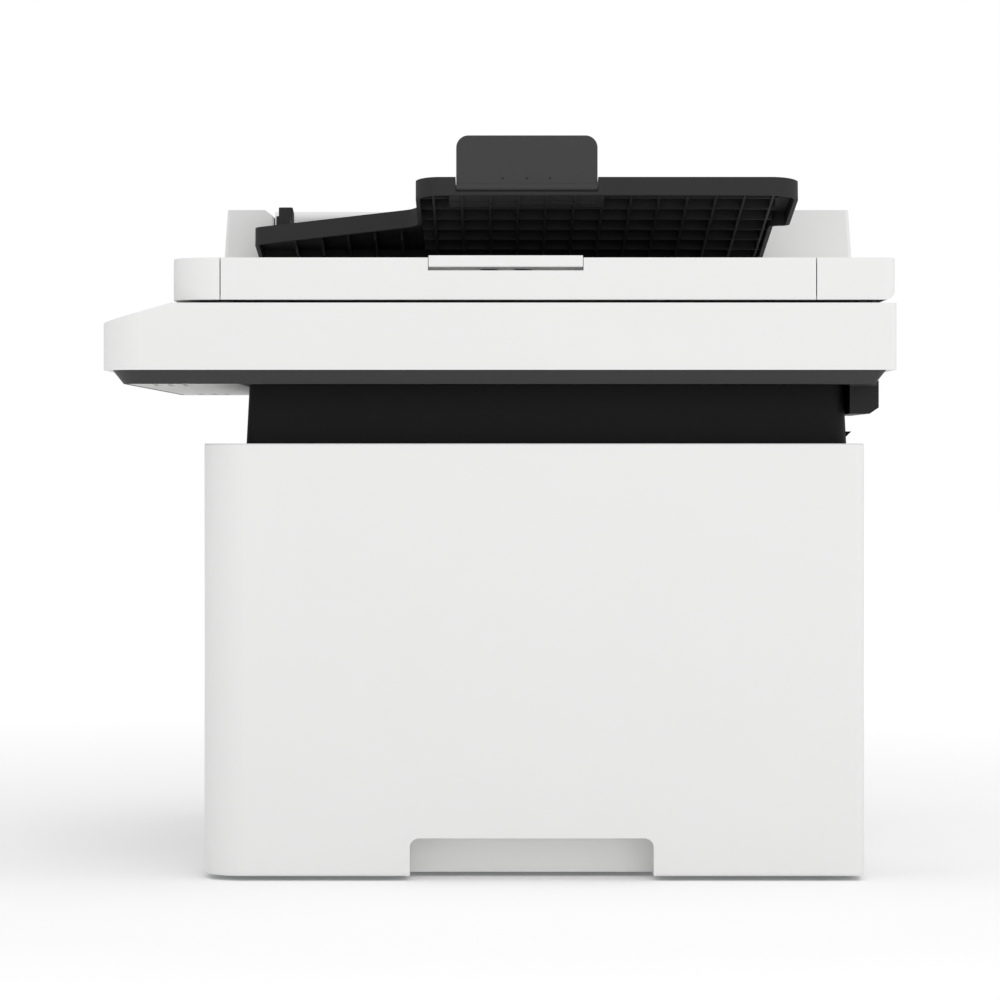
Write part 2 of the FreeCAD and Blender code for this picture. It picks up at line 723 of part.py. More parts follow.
def rear_cover():
    """Back panel with the rear door's opening, the sockets' cut-outs and the cooling slots."""
    panel = Casing("rear_cover")
    half = "body_width/2 - wrap_back - gap"
    depth = ("body_back - wall", "body_back")
    panel.add("XZ", rect((f"-({half})", half), ("foot_height", "body_top"), 1), depth)
    through = ("body_back - 2*wall", "body_back + wall")
    door = rect(("-rear_half - gap", "rear_half + gap"), ("rear_low - gap", "rear_high + gap"))
    inlet = rect(
        ("inlet_x - inlet_half - gap", "inlet_x + inlet_half + gap"),
        ("inlet_z - inlet_rise - gap", "inlet_z + inlet_rise + gap"),
    )
    ports = [
        rect(("port_x - port_half - gap", "port_x + port_half + gap"), (f"{low} - gap", f"{high} + gap"))
        for low, high in PORTS
    ]
    panel.cut("XZ", [door, inlet] + ports, through)
    slot = panel.cut("XZ", rect((136, 182), (100, 102.5), 1.2), through)
    panel.repeat(slot, "Z", 75, 16)
    other = panel.cut("XZ", rect((-182, -136), (140, 142.5), 1.2), through)
    panel.repeat(other, "Z", 35, 8)
    holes = [
        Disc(x, z, "screw_radius + slack")
        for x in ("screw_x", "-screw_x")
        for z in (f"{PAN_TOP} + lip_high/2", "body_top - wall - 6")
    ]
    panel.cut("XZ", holes, through)
    keep("rear_cover", panel.body)


def housing_screws():
    """Four pan-head screws that hold the back panel."""
    screws = []
    for i, x in enumerate(("screw_x", "-screw_x")):
        for k, z in enumerate((f"{PAN_TOP} + lip_high/2", "body_top - wall - 6")):
            head = rod(f"head_{i}{k}", "Y", ("body_back", "body_back + screw_cap"), (x, z), "screw_head")
            shank = rod(f"shank_{i}{k}", "Y", ("body_back - screw_long", "body_back"), (x, z), "screw_radius")
            screw = fuse(f"screw_{i}{k}", [head, shank])
            drive = box(
                f"drive_{i}{k}",
                (f"{x} - 1.8", f"{x} + 1.8"),
                ("body_back + screw_cap - 0.9", "body_back + screw_cap + 1"),
                (f"{z} - 0.4", f"{z} + 0.4"),
            )
            cross = box(
                f"cross_{i}{k}",
                (f"{x} - 0.4", f"{x} + 0.4"),
                ("body_back + screw_cap - 0.9", "body_back + screw_cap + 1"),
                (f"{z} - 1.8", f"{z} + 1.8"),
            )
            screws.append(cut(f"screw_cut_{i}{k}", screw, [drive, cross]))
    keep("housing_screws", group("housing_screws", screws))


# --------------------------------------------------------------------------- top of the body
def output_bin_cover():
    """Black top of the body: the deck, the sloping output bin, and the neck that carries the scanner."""
    cover = Casing("output_bin_cover")
    half = "body_width/2 - flange_in - gap"
    top = "scan_bottom - gap"
    cover.add(
        "XY",
        rect((f"-({half})", half), ("body_front", "body_back - wall - gap"), 1),
        (DECK_LOW, "body_top"),
    )
    cover.add(
        "XY",
        rect(("-neck_half", "neck_half"), ("neck_front", "neck_back"), [4, 4, 15, 15]),
        ("body_top", top),
        "neck_draft",
    )
    cover.cut(
        "XY",
        rect(("-bin_half", "bin_half"), ("neck_front - 5", "bin_back")),
        ("body_top", "scan_bottom"),
    )
    under = [
        ("bin_fold - 16", f"{DECK_LOW} + wall/2"),
        ("bin_back + wall", "bin_low - wall"),
        ("bin_back + wall", "body_top"),
        ("bin_fold - 16", "body_top"),
    ]
    cover.add("YZ", under, ("-bin_half - wall", "bin_half + wall"))
    floor = [
        ("bin_fold", "body_top"),
        ("bin_back", "bin_low"),
        ("bin_back", "body_top + 1"),
        ("bin_fold", "body_top + 1"),
    ]
    cover.cut("YZ", floor, ("-bin_half", "bin_half"))
    depth = ("neck_front + 2*wall", "neck_back - 2*wall")
    right = rect(("bin_half + wall", "neck_half - 2*wall"), depth, [0, 0, 12, 0])
    left = rect(("2*wall - neck_half", "-bin_half - wall"), depth, [0, 0, 0, 12])
    inside = (f"{DECK_LOW} - 1", f"{top} - wall")
    cover.cut("XY", [left, right], inside)
    back = rect(("-bin_half - 2*wall", "bin_half + 2*wall"), ("bin_back + wall", "neck_back - 2*wall"))
    cover.cut("XY", back, inside)
    slot = rect(("-sheet_half - 6", "sheet_half + 6"), ("exit_z - 9", "exit_z + 8"))
    cover.cut("XZ", slot, ("bin_back - 1", "bin_back + wall + 1"))
    cheek = rect(("exit_y - 6", "exit_y + 6"), ("exit_z - 6", f"{top} - wall/2"), [3, 3, 0, 0])
    for span in sides("sheet_half + 10", "sheet_half + 13"):
        cover.add("YZ", cheek, span)
    bore = Disc("exit_y", "exit_z", "exit_shaft + slack")
    cover.cut("YZ", bore, ("-sheet_half - 14", "sheet_half + 14"))
    window = rect(
        ("-stop_half - gap", "stop_half + gap"),
        ("stop_y - 5.5", "stop_y + stop_long + gap"),
    )
    cover.cut("XY", window, (f"{DECK_LOW} - 1", "body_top + 1"))
    for span in sides("stop_half + gap", "stop_half + 5"):
        cover.add("XY", rect(span, ("stop_y - 3", "stop_y + 3")), ("body_top - 6.5", "body_top"))
    cover.cut("YZ", Disc("stop_y", STOP_Z, "1.5 + slack"), ("-stop_half - 4.5", "stop_half + 4.5"))
    hook = [
        ("neck_back - 1", "body_top + 2.5"),
        ("neck_back + 2.6", "body_top + 6"),
        ("neck_back - 1", "body_top + 6"),
    ]
    cover.add("YZ", hook, (150, 165))
    keep("output_bin_cover", cover.body)


def bin_stop():
    """Paper stop that lies in the deck in front of the bin and flips up on two pins."""
    stop = Casing("bin_stop")
    stop.add(
        "XY",
        rect(("-stop_half", "stop_half"), ("stop_y", "stop_y + stop_long"), [0, 0, 5, 5]),
        ("body_top - 2.2", "body_top - 0.2"),
    )
    stop.add("YZ", Disc("stop_y", STOP_Z, 2.3), ("-stop_half", "stop_half"))
    stop.add("YZ", Disc("stop_y", STOP_Z, 1.5), ("-stop_half - 4.3", "stop_half + 4.3"))
    keep("bin_stop", stop.body)


# --------------------------------------------------------------------------- doors
def door(label, face, into, half, low, high, ear):
    """A door whose rolled lower edge turns about two moulded pins in the side frames."""
    panel = Casing(label)
    axis = (f"{face} + ({into})*hinge_set", f"{low} + hinge_set")

    def depth(size):
        return f"{face} + ({into})*({size})"

    def between(near, far):
        ends = (depth(near), depth(far))
        return ends if into > 0 else ends[::-1]

    profile = [
        (depth(0), high),
        (depth(0), low, "hinge_set"),
        (depth("hinge_set + 0.4"), low),
        (depth("hinge_set + 0.4"), f"{low} + wall"),
        (depth("wall"), f"{low} + wall", "hinge_set - wall"),
        (depth("wall"), high),
    ]
    panel.add("YZ", profile, (f"-({half})", half))
    rim = [
        (f"-({half})", f"{low} + hinge_set + 4"),
        (f"2 - ({half})", f"{low} + hinge_set + 4"),
        (f"2 - ({half})", f"{high} - 2"),
        (f"{half} - 2", f"{high} - 2"),
        (f"{half} - 2", f"{low} + hinge_set + 4"),
        (half, f"{low} + hinge_set + 4"),
        (half, high),
        (f"-({half})", high),
    ]
    panel.add("XZ", rim, between("wall/2", "door_rim"))
    tongue = rect(between("wall/2", "hinge_set + 4.4"), (f"{axis[1]} - 4.4", f"{axis[1]} + 4.4"))
    for span in sides(f"{ear} - ear_wall", ear):
        panel.add("YZ", tongue, span)
    for span in sides(f"{ear} - ear_wall", "frame_half + frame_wall"):
        panel.add("YZ", Disc(*axis, "pin_radius"), span)
    return panel


def front_door():
    """Front door with a finger pocket in its upper edge."""
    half, high = "body_width/2 - wrap_front - gap", DOOR_TOP
    panel = door("front_door", "body_front", 1, half, "door_bottom", high, "frame_half - gap")
    panel.add(
        "XZ",
        rect(("-pull_half - 2", "pull_half + 2"), (f"{high} - pull_high - 2", high)),
        ("body_front + wall/2", "body_front + door_rim"),
    )
    panel.cut(
        "XZ",
        rect(("-pull_half", "pull_half"), (f"{high} - pull_high", f"{high} + 1"), [3, 3, 0, 0]),
        ("body_front - 1", "body_front + door_rim - 2"),
    )
    keep("front_door", panel.body)


def rear_door():
    """Rear door for clearing the paper path behind the fuser."""
    panel = door("rear_door", "body_back", -1, "rear_half", "rear_low", "rear_high", "rear_half - 1")
    panel.cut(
        "XZ",
        rect((-22, 22), ("rear_high - 16", "rear_high - 9"), 3),
        ("body_back - wall - 1", "body_back + 1"),
    )
    keep("rear_door", panel.body)


# --------------------------------------------------------------------------- paper cassette
TUB_FLOOR = f"{PAN_TOP} + gap + tub_wall"
TUB_BACK = "body_back - wall - 1"
TUB_FRONT = "body_front + door_rim"
TUB_HALF = "frame_half - 0.5"


def paper_cassette():
    """Sheet drawer: a front panel with a pull slot and an open tub."""
    tub = Casing("paper_cassette")
    half = "body_width/2 - wrap_front - gap"
    tub.add(
        "XZ",
        rect((f"-({half})", half), ("foot_height + 1", "door_bottom - 2*gap"), 1),
        ("body_front", "body_front + wall"),
    )
    tub.add(
        "XY",
        rect((f"-({TUB_HALF})", TUB_HALF), ("body_front + wall/2", TUB_BACK)),
        (f"{PAN_TOP} + gap", "tub_top"),
    )
    inner = f"{TUB_HALF} - tub_wall"
    room = (TUB_FLOOR, "tub_top + 1")
    tub.cut("XY", rect((f"-({inner})", inner), (f"{TUB_FRONT} + tub_wall", f"{TUB_BACK} - tub_wall")), room)
    tub.cut("XY", rect((f"-({inner})", inner), ("body_front + wall", TUB_FRONT)), room)
    tub.cut(
        "XZ",
        rect(("-slot_half", "slot_half"), ("slot_low", "slot_top"), 2),
        ("body_front - 1", "body_front + wall + 1"),
    )
    ear = rect(("lift_hinge - 4", "lift_hinge + 4"), (f"{TUB_FLOOR} - 1", f"{TUB_FLOOR} + 6.5"), [0, 0, 2, 2])
    for span in sides("sheet_half - 0.7", "sheet_half + 3"):
        tub.add("YZ", ear, span)
    tub.cut(
        "YZ",
        Disc("lift_hinge", f"{TUB_FLOOR} + 3.2", "1.5 + slack"),
        ("-sheet_half - 4", "sheet_half + 4"),
    )
    keep("paper_cassette", tub.body)


def lift_plate():
    """Plate under the sheets that rises on two pins to press them against the pickup roller."""
    plate = Casing("lift_plate")
    span = ("1.5 - sheet_half", "sheet_half - 1.5")
    plate.add(
        "XY",
        rect(span, (f"{TUB_FRONT} + tub_wall + 1.5", "lift_hinge"), [5, 5, 0, 0]),
        (f"{TUB_FLOOR} + gap", f"{TUB_FLOOR} + gap + 1.2"),
    )
    plate.cut(
        "XY",
        [rect(x, ("-104", "-60"), 4) for x in sides(45, 80)],
        (f"{TUB_FLOOR} - 1", f"{TUB_FLOOR} + 3"),
    )
    plate.add("YZ", Disc("lift_hinge", f"{TUB_FLOOR} + 3.2", 2.6), span)
    plate.add("YZ", Disc("lift_hinge", f"{TUB_FLOOR} + 3.2", 1.5), ("-sheet_half - 2.8", "sheet_half + 2.8"))
    keep("lift_plate", plate.body)


def sheet_guides():
    """Two coupled width guides and a length guide that stand on the cassette's floor."""
    guide = Casing("width_guide_right")
    foot = f"{TUB_FLOOR} + gap"
    guide.add("XY", rect(("sheet_half", "sheet_half + 3"), (10, 90), 1), (foot, "tub_top - 4"))
    guide.add("XY", rect(("sheet_half - 20", "sheet_half + 1"), (34, 66), 1), (foot, f"{foot} + 1.5"))
    keep("width_guide_right", guide.body)
    keep("width_guide_left", mirrored("width_guide_left", guide.body))
    stop = Casing("length_guide")
    back = f"{TUB_BACK} - tub_wall - 0.8"
    stop.add("XY", rect((-20, 20), (f"{back} - 2.5", back), 1), (foot, "tub_top - 5"))
    stop.add("XY", rect((-12, 12), (f"{back} - 28", f"{back} - 1"), 1), (foot, f"{foot} + 1.5"))
    keep("length_guide", stop.body)


# --------------------------------------------------------------------------- rollers and the print engine
def roller(label, axis, ends, centre, shaft, tyres):
    """A shaft with tyres, each a (low, high, radius) along it."""
    pieces = [rod(f"{label}_shaft", axis, ends, centre, shaft)]
    for i, (low, high, radius) in enumerate(tyres):
        pieces.append(rod(f"{label}_tyre_{i}", axis, (low, high), centre, radius))
    keep(label, fuse(label, pieces))


def engine_rollers():
    """Rollers of the sheet's way from the cassette to the output bin."""
    ends = ("-frame_half - frame_wall - 1", "frame_half + frame_wall + 1")
    roller(
        "pickup_roller", "X", ends, ("pickup_y", "pickup_z"), "shaft",
        [(-24, 24, "pickup_radius"), (-40, -30, "pickup_radius - 2"), (30, 40, "pickup_radius - 2")],
    )
    roller(
        "transfer_roller", "X", ends, ("drum_y", "transfer_z"), "shaft",
        [("-sheet_half", "sheet_half", "transfer_radius")],
    )
    roller(
        "photo_drum", "X", ("-sheet_half - 9.5", "sheet_half + 9.5"), ("drum_y", DRUM_Z), "shaft",
        [("-sheet_half - 3", "sheet_half + 3", "drum_radius")],
    )
    fused = ("-fuser_half - 1", "fuser_half + 1")
    for label, height in (("heat_roller", HEAT_Z), ("pressure_roller", PRESS_Z)):
        roller(
            label, "X", fused, ("fuser_y", height), "shaft", [("-sheet_half", "sheet_half", "fuser_radius")]
        )
    roller(
        "exit_roller", "X", ("-sheet_half - 14", "sheet_half + 14"), ("exit_y", "exit_z"), "exit_shaft",
        [(x - 9, x + 9, "exit_radius") for x in (-84, -28, 28, 84)],
    )


def toner_cartridge():
    """Toner cartridge: the hopper and the trough round the drum, held by a tab in each side frame."""
    case = Casing("toner_cartridge")
    low = f"{DRUM_Z} - 7"
    profile = [
        ("drum_y - 60", low, 3),
        ("drum_y + 34", low, 4),
        ("drum_y + 34", f"{low} + 34", 4),
        ("drum_y + 10", f"{low} + 56", 4),
        ("drum_y - 80", f"{low} + 56", 4),
        ("drum_y - 80", f"{low} + 16", 4),
    ]
    case.add("YZ", profile, ("-sheet_half - 10", "sheet_half + 10"))
    room = Disc("drum_y", DRUM_Z, "drum_radius + 0.7")
    case.cut("YZ", room, ("-sheet_half - 3.5", "sheet_half + 3.5"))
    case.cut("YZ", Disc("drum_y", DRUM_Z, "shaft + slack"), ("-sheet_half - 11", "sheet_half + 11"))
    case.add("XZ", rect((-40, 40), (f"{low} + 40", f"{low} + 45"), 1), ("drum_y - 96", "drum_y - 92"))
    for span in sides(34, 40):
        case.add("YZ", rect(("drum_y - 95", "drum_y - 79"), (f"{low} + 40", f"{low} + 45")), span)
    for span in sides("sheet_half + 9", "frame_half - gap"):
        case.add("YZ", rect(("drum_y - 50", "drum_y - 20"), (f"{low} + 24", f"{low} + 34"), 3), span)
    keep("toner_cartridge", case.body)


def laser_unit():
    """Laser scanning unit over the cartridge, held by a tab in each side frame."""
    unit = Casing("laser_unit")
    profile = [
        ("laser_front", "laser_low", 2),
        ("laser_back", "laser_low", 2),
        ("laser_back", "laser_high - 10", 2),
        ("laser_back - 22", "laser_high", 3),
        ("laser_front + 20", "laser_high", 3),
        ("laser_front", "laser_high - 12", 2),
    ]
    unit.add("YZ", profile, ("-laser_half", "laser_half"))
    beam = rect(("12 - laser_half", "laser_half - 12"), ("drum_y - 20", "drum_y - 12"), 2)
    unit.cut("XY", beam, ("laser_low - 1", "laser_low + 5"))
    tab = rect(("laser_front + 30", "laser_back - 30"), ("laser_low + 5", "laser_low + 12"), 2)
    for span in sides("laser_half - 1", "frame_half - gap"):
        unit.add("YZ", tab, span)
    polygon_motor = Disc(30, "(laser_front + laser_back)/2 + 10", 26)
    unit.add("XY", [polygon_motor], ("laser_high - 1", "laser_high + 2.5"))
    keep("laser_unit", unit.body)


def fuser_frame():
    """Fuser housing with a slot for the sheet in front and behind."""
    case = Casing("fuser_frame")
    low, high = f"{PRESS_Z} - fuser_radius - 3", f"{HEAT_Z} + fuser_radius + 9"
    reach = ("fuser_y - 19", "fuser_y + 19")
    case.add("YZ", rect(reach, (low, high), 3), ("-fuser_half", "fuser_half"))
    case.cut(
        "YZ",
        rect(("fuser_y - 16.5", "fuser_y + 16.5"), (f"{low} + 2", f"{high} - wall"), 1),
        ("4 - fuser_half", "fuser_half - 4"),
    )
    slot = rect(("-sheet_half - 5", "sheet_half + 5"), (f"{NIP_Z} - 4", f"{NIP_Z} + 4"))
    case.cut("XZ", slot, ("fuser_y - 20", "fuser_y + 20"))
    bores = [Disc("fuser_y", height, "shaft + slack") for height in (HEAT_Z, PRESS_Z)]
    case.cut("YZ", bores, ("-fuser_half - 1", "fuser_half + 1"))
    for span in sides("fuser_half - 1", "frame_half - gap"):
        case.add("YZ", rect(("fuser_y - 10", "fuser_y + 10"), (f"{high} - 9", f"{high} - 3"), 1), span)
    keep("fuser_frame", case.body)


def drive_motor():
    """Main motor and its plate on the right side frame."""
    side = "frame_half + frame_wall"
    plate = Casing("drive_motor")
    y = ("motor_y - motor_radius - 11", "motor_y + motor_radius + 12")
    z = ("motor_z - motor_radius - 1", "motor_z + motor_radius + 3")
    plate.add("YZ", rect(y, z, 4), (side, f"{side} + frame_wall"))
    plate.add("YZ", Disc("motor_y", "motor_z", "motor_radius"), (side, f"{side} + 26"))
    plate.add("YZ", Disc("motor_y", "motor_z", 5), (side, f"{side} + 29"))
    keep("drive_motor", plate.body)


def circuit_boards():
    """Main board on the left side frame and the power board on the pan, with their larger parts."""
    near = "-frame_half - frame_wall"
    top = f"{near} - 4"
    front, back = -60, 110
    pieces = [box("main_plate", (f"{near} - 4.6", f"{near} - 3"), (front, back), ("board_low", "board_high"))]
    corners = [(front + 6, "board_low + 6"), (back - 6, "board_low + 6"), (-20, "board_high - 6")]
    for i, centre in enumerate(corners + [(back - 6, "board_high - 6")]):
        pieces.append(rod(f"main_post_{i}", "X", (f"{near} - 3.5", near), centre, 2.6))
    pieces.append(box("main_sink", (f"{near} - 17", top), (0, 34), ("board_low + 40", "board_low + 74")))
    pieces.append(box("main_chip", (f"{near} - 7", top), (55, 83), ("board_low + 45", "board_low + 73")))
    pieces.append(box("main_plug", (f"{near} - 14", top), (-50, -42), ("board_low + 20", "board_low + 60")))
    for i in range(4):
        centre = (f"{i}*13 + 50", "board_low + 18")
        pieces.append(rod(f"main_can_{i}", "X", (f"{near} - 15", top), centre, 4.5))
    keep("main_board", fuse("main_board", pieces))
    front, back = -100, 120
    x = ("power_x - 20", "power_x + 20")
    pieces = [box("power_plate", x, (front, back), (f"{PAN_TOP} + 6", f"{PAN_TOP} + 7.6"))]
    for i, (x, y) in enumerate([(x, y) for y in (front + 6, back - 6) for x in (-15, 15)]):
        centre = (f"power_x + ({x})", y)
        pieces.append(rod(f"power_post_{i}", "Z", (PAN_TOP, f"{PAN_TOP} + 6.5"), centre, 3))
    top = f"{PAN_TOP} + 7"
    core = ("power_x - 16", "power_x + 14")
    pieces.append(box("power_core", core, (-40, 0), (top, f"{PAN_TOP} + 36")))
    sink = ("power_x - 10", "power_x - 6")
    pieces.append(box("power_sink", sink, (60, 105), (top, f"{PAN_TOP} + 38")))
    for i, y in enumerate((-78, 32)):
        pieces.append(rod(f"power_can_{i}", "Z", (top, f"{PAN_TOP} + 40"), ("power_x", y), 11))
    keep("power_supply_board", fuse("power_supply_board", pieces))


def sockets():
    """Mains inlet and data sockets in the back panel."""
    inlet = Casing("power_inlet")
    back, face = "body_back", "body_back + 1.5"
    shell = rect(
        ("inlet_x - inlet_half", "inlet_x + inlet_half"), ("inlet_z - inlet_rise", "inlet_z + inlet_rise"), 2
    )
    inlet.add("XZ", shell, (f"{back} - 24", back))
    rim = rect(
        ("inlet_x - inlet_half - 2", "inlet_x + inlet_half + 2"),
        ("inlet_z - inlet_rise - 2", "inlet_z + inlet_rise + 2"),
        3,
    )
    inlet.add("XZ", rim, (f"{back} + 0.1", face))
    inlet.add("XZ", shell, (f"{back} - 1", f"{back} + 1"))
    mouth = [
        ("inlet_x - 12.2", "inlet_z - 8.2", 1),
        ("inlet_x + 12.2", "inlet_z - 8.2", 1),
        ("inlet_x + 12.2", "inlet_z + 3", 1),
        ("inlet_x + 7", "inlet_z + 8.2", 1),
        ("inlet_x - 7", "inlet_z + 8.2", 1),
        ("inlet_x - 12.2", "inlet_z + 3", 1),
    ]
    inlet.cut("XZ", mouth, (f"{back} - 15.5", f"{face} + 1"))
    for x, z in (("inlet_x - 7", "inlet_z - 1"), ("inlet_x", "inlet_z + 3"), ("inlet_x + 7", "inlet_z - 1")):
        blade = rect((f"{x} - 1", f"{x} + 1"), (f"{z} - 2", f"{z} + 2"))
        inlet.add("XZ", blade, (f"{back} - 16", f"{back} - 2"))
    keep("power_inlet", inlet.body)
    ports = []
    for i, (low, high) in enumerate(PORTS):
        x = ("port_x - port_half", "port_x + port_half")
        shell = box(f"port_{i}", x, (f"{back} - 18", f"{back} - 0.2"), (low, high))
        room = box(
            f"port_room_{i}",
            ("port_x - port_half + 1.5", "port_x + port_half - 1.5"),
            (f"{back} - 12", f"{back} + 1"),
            (low + 1.5, high - 1.5),
        )
        blade = box(
            f"port_blade_{i}",
            ("port_x - port_half + 3", "port_x + port_half - 3"),
            (f"{back} - 13", f"{back} - 3"),
            (high - 3.6, high - 2.6),
        )
        ports.append(fuse(f"port_whole_{i}", [cut(f"port_shell_{i}", shell, [room]), blade]))
    keep("data_ports", group("data_ports", ports))


# --------------------------------------------------------------------------- scanner
def posts(fit=0):
    """Spans of the lid hinges' posts in X, widened by a fit."""
    return sides(f"hinge_x - hinge_half + 2 - ({fit})", f"hinge_x + hinge_half - 2 + {fit}")


POST_Y = ("lid_back - 13.5", "lid_back - 7")


def scanner_tub():
    """Dark lower casing of the scanner, with a bevel all round and the cable duct at its back."""
    tub = Casing("scanner_tub")
    inset = "(shell + gap)"
    corners = ["scan_corner - shell - gap"] * 2 + [6, 6]
    x = (f"-scan_width/2 + {inset}", f"scan_width/2 - {inset}")
    y = (f"{SCAN_FRONT} + {inset}", f"{SCAN_BACK} - {inset}")
    tub.add("XY", rect(x, y, corners), ("belt_low", "scan_top - 14"))
    small = ["scan_corner - shell - gap - bevel_in"] * 2 + ["6 - bevel_in"] * 2
    base = rect(shrunk(x, "bevel_in"), shrunk(y, "bevel_in"), small)
    tub.add("XY", base, ("scan_bottom", "belt_low"), "-atan(bevel_in/(belt_low - scan_bottom))")
    inner = ["scan_corner - shell - gap - wall"] * 2 + [3, 3]
    tub.cut("XY", rect(shrunk(x, "wall"), shrunk(y, "wall"), inner), ("belt_low + 2", "scan_top"))
    deep = rect(shrunk(x, "(bevel_in + 2)"), shrunk(y, "(bevel_in + 2)"), 4)
    tub.cut("XY", deep, ("scan_bottom + tub_floor", "belt_low + 3"))
    for span in sides("scan_width/2 - 22", "scan_width/2 - 13"):
        tub.add("YZ", rect((-8, 8), ("scan_bottom + tub_floor - 1", "rod_z + 6"), [0, 0, 5, 5]), span)
    tub.cut("YZ", Disc(0, "rod_z", "rod + slack"), ("15 - scan_width/2", "scan_width/2 - 15"))
    sockets_up = [
        rect((f"{low} - 2", f"{high} + 2"), (f"{POST_Y[0]} - gap - 2", f"{SCAN_BACK} - shell - 1.5"))
        for low, high in posts("gap")
    ]
    tub.add("XY", sockets_up, ("scan_bottom + tub_floor - 1", "scan_top - 14"))
    bores = [rect(span, (f"{POST_Y[0]} - gap", f"{POST_Y[1]} + gap")) for span in posts("gap")]
    tub.cut("XY", bores, ("scan_bottom + tub_floor", "scan_top"))
    plate = rect(("-under_half - gap", "under_half + gap"), ("under_front - gap", "under_back + gap"), 5)
    tub.cut("XY", plate, ("scan_bottom - 1", "scan_bottom + under_thick"))
    duct = [
        ("neck_back + 1", "duct_low"),
        ("neck_back + 1 + duct_deep - 4.4", "duct_low"),
        ("neck_back + 1 + duct_deep", "duct_low + 3"),
        ("neck_back + 1 + duct_deep", "scan_bottom + tub_floor - 1"),
        ("neck_back + 1", "scan_bottom + tub_floor - 1"),
    ]
    tub.add("YZ", duct, ("duct_left", "duct_right"))
    keep("scanner_tub", tub.body)


def panel_underside():
    """Light plate let into the scanner's floor under the control panel."""
    plate = Casing("panel_underside")
    plate.add(
        "XY",
        rect(("-under_half", "under_half"), ("under_front", "under_back"), 5),
        ("scan_bottom", "scan_bottom + under_thick"),
    )
    slots = [
        rect((x, x + 34), (y, f"{y} + 2.4"), 1)
        for x in (-178, 144)
        for y in ("under_front + 10", "under_front + 17", "under_front + 24")
    ]
    plate.cut("XY", slots, ("scan_bottom - 1", "scan_bottom + 2*under_thick"))
    keep("panel_underside", plate.body)


def slope_box(name, x, along, above):
    """A box square to the control panel's slope."""
    made = doc.addObject("Part::Box", name)
    made.Placement = FreeCAD.Placement(Vector(), FreeCAD.Rotation(Vector(1, 0, 0), number("panel_tilt")))
    bind(made, "Placement.Rotation.Angle", "panel_tilt")
    for prop, span in (("Length", x), ("Width", along), ("Height", above)):
        bind(made, prop, f"({span[1]}) - ({span[0]})")
    y, z = slope(along[0], above[0])
    for axis, text in (("x", x[0]), ("y", y), ("z", z)):
        bind(made, f"Placement.Base.{axis}", text)
    return made


PANEL_MID = f"({PANEL_LONG})/2"
SQUARE_KEYS = {"key_left": -84, "key_right": 46, "key_ok": 66}
ROUND_KEYS = {"power_button": -165, "key_stop": 122, "key_start": 152}


def scanner_top_frame():
    """White upper frame of the scanner, with the sloping panel in front and the glass windows on top."""
    frame = Casing("scanner_top_frame")
    x = ("-scan_width/2", "scan_width/2")
    y = (SCAN_FRONT, SCAN_BACK)
    corners = ["scan_corner"] * 2 + ["scan_rear_corner"] * 2
    frame.add("XY", rect(x, y, corners), ("belt_low", "scan_top"))
    wedge = [
        (f"{SCAN_FRONT} - 10", f"{PANEL_FRONT_Z} - 10*tan(panel_tilt)"),
        (PANEL_TOP_Y, "scan_top"),
        (PANEL_TOP_Y, "scan_top + 5"),
        (f"{SCAN_FRONT} - 10", "scan_top + 5"),
    ]
    frame.cut("YZ", wedge, ("-scan_width/2 - 1", "scan_width/2 + 1"))
    inner = ["scan_corner - shell"] * 2 + [1, 1]
    room = rect(shrunk(x, "shell"), shrunk(y, "shell"), inner)
    frame.cut("XY", room, ("belt_low - 1", f"{PANEL_FRONT_Z} - panel_skin"))
    slope_low = f"{PANEL_FRONT_Z} - panel_skin/cos(panel_tilt)"
    upper = [
        (f"{SCAN_FRONT} + shell + 5", f"{PANEL_FRONT_Z} - panel_skin - 1"),
        (f"{SCAN_FRONT} + shell + 5", f"{slope_low} + (shell + 5)*tan(panel_tilt)"),
        (f"{PANEL_TOP_Y} + 9", PLATE_LOW),
        (f"{SCAN_BACK} - shell", PLATE_LOW),
        (f"{SCAN_BACK} - shell", f"{PANEL_FRONT_Z} - panel_skin - 1"),
    ]
    frame.cut("YZ", upper, ("-scan_width/2 + shell + 2", "scan_width/2 - shell - 2"))
    windows = [
        rect(("glass_left", "glass_right"), ("-glass_half", "glass_half")),
        rect(("strip_x - strip_half", "strip_x + strip_half"), ("-glass_half", "glass_half")),
    ]
    windows += [rect(span, (f"{POST_Y[0]} - gap", f"{POST_Y[1]} + gap")) for span in posts("gap")]
    frame.cut("XY", windows, (f"{PLATE_LOW} - 1", "scan_top + 1"))
    tools = [
        slope_box(
            "bezel_room", ("-bezel_half - gap", "bezel_half + gap"),
            (f"{BEZEL_FROM} - gap", f"{BEZEL_FROM} + bezel_wide + gap"), ("-bezel", 3),
        )
    ]
    for i, centre in enumerate(list(SQUARE_KEYS.values()) + list(ROUND_KEYS.values())):
        tools.append(
            slope_box(
                f"key_room_{i}", (f"{centre} - key/2 - 3", f"{centre} + key/2 + 3"),
                (f"{PANEL_MID} - key/2 - 3", f"{PANEL_MID} + key/2 + 3"), ("-panel_skin - 3", "1 - bezel"),
            )
        )
    keep("scanner_top_frame", cut("scanner_top_frame_cut", frame.body, tools))


def scanner_glass():
    """Platen glass and the narrow pane that the feeder scans through, bonded under the top plate."""
    low = f"{PLATE_LOW} - glass"
    y = ("-glass_half - ledge", "glass_half + ledge")
    platen = box("platen_pane", ("glass_left - 2", "glass_right + ledge"), y, (low, PLATE_LOW))
    strip = box(
        "strip_pane", ("strip_x - strip_half - ledge", "strip_x + strip_half + 2"), y, (low, PLATE_LOW)
    )
    keep("scanner_glass", group("scanner_glass", [platen, strip]))


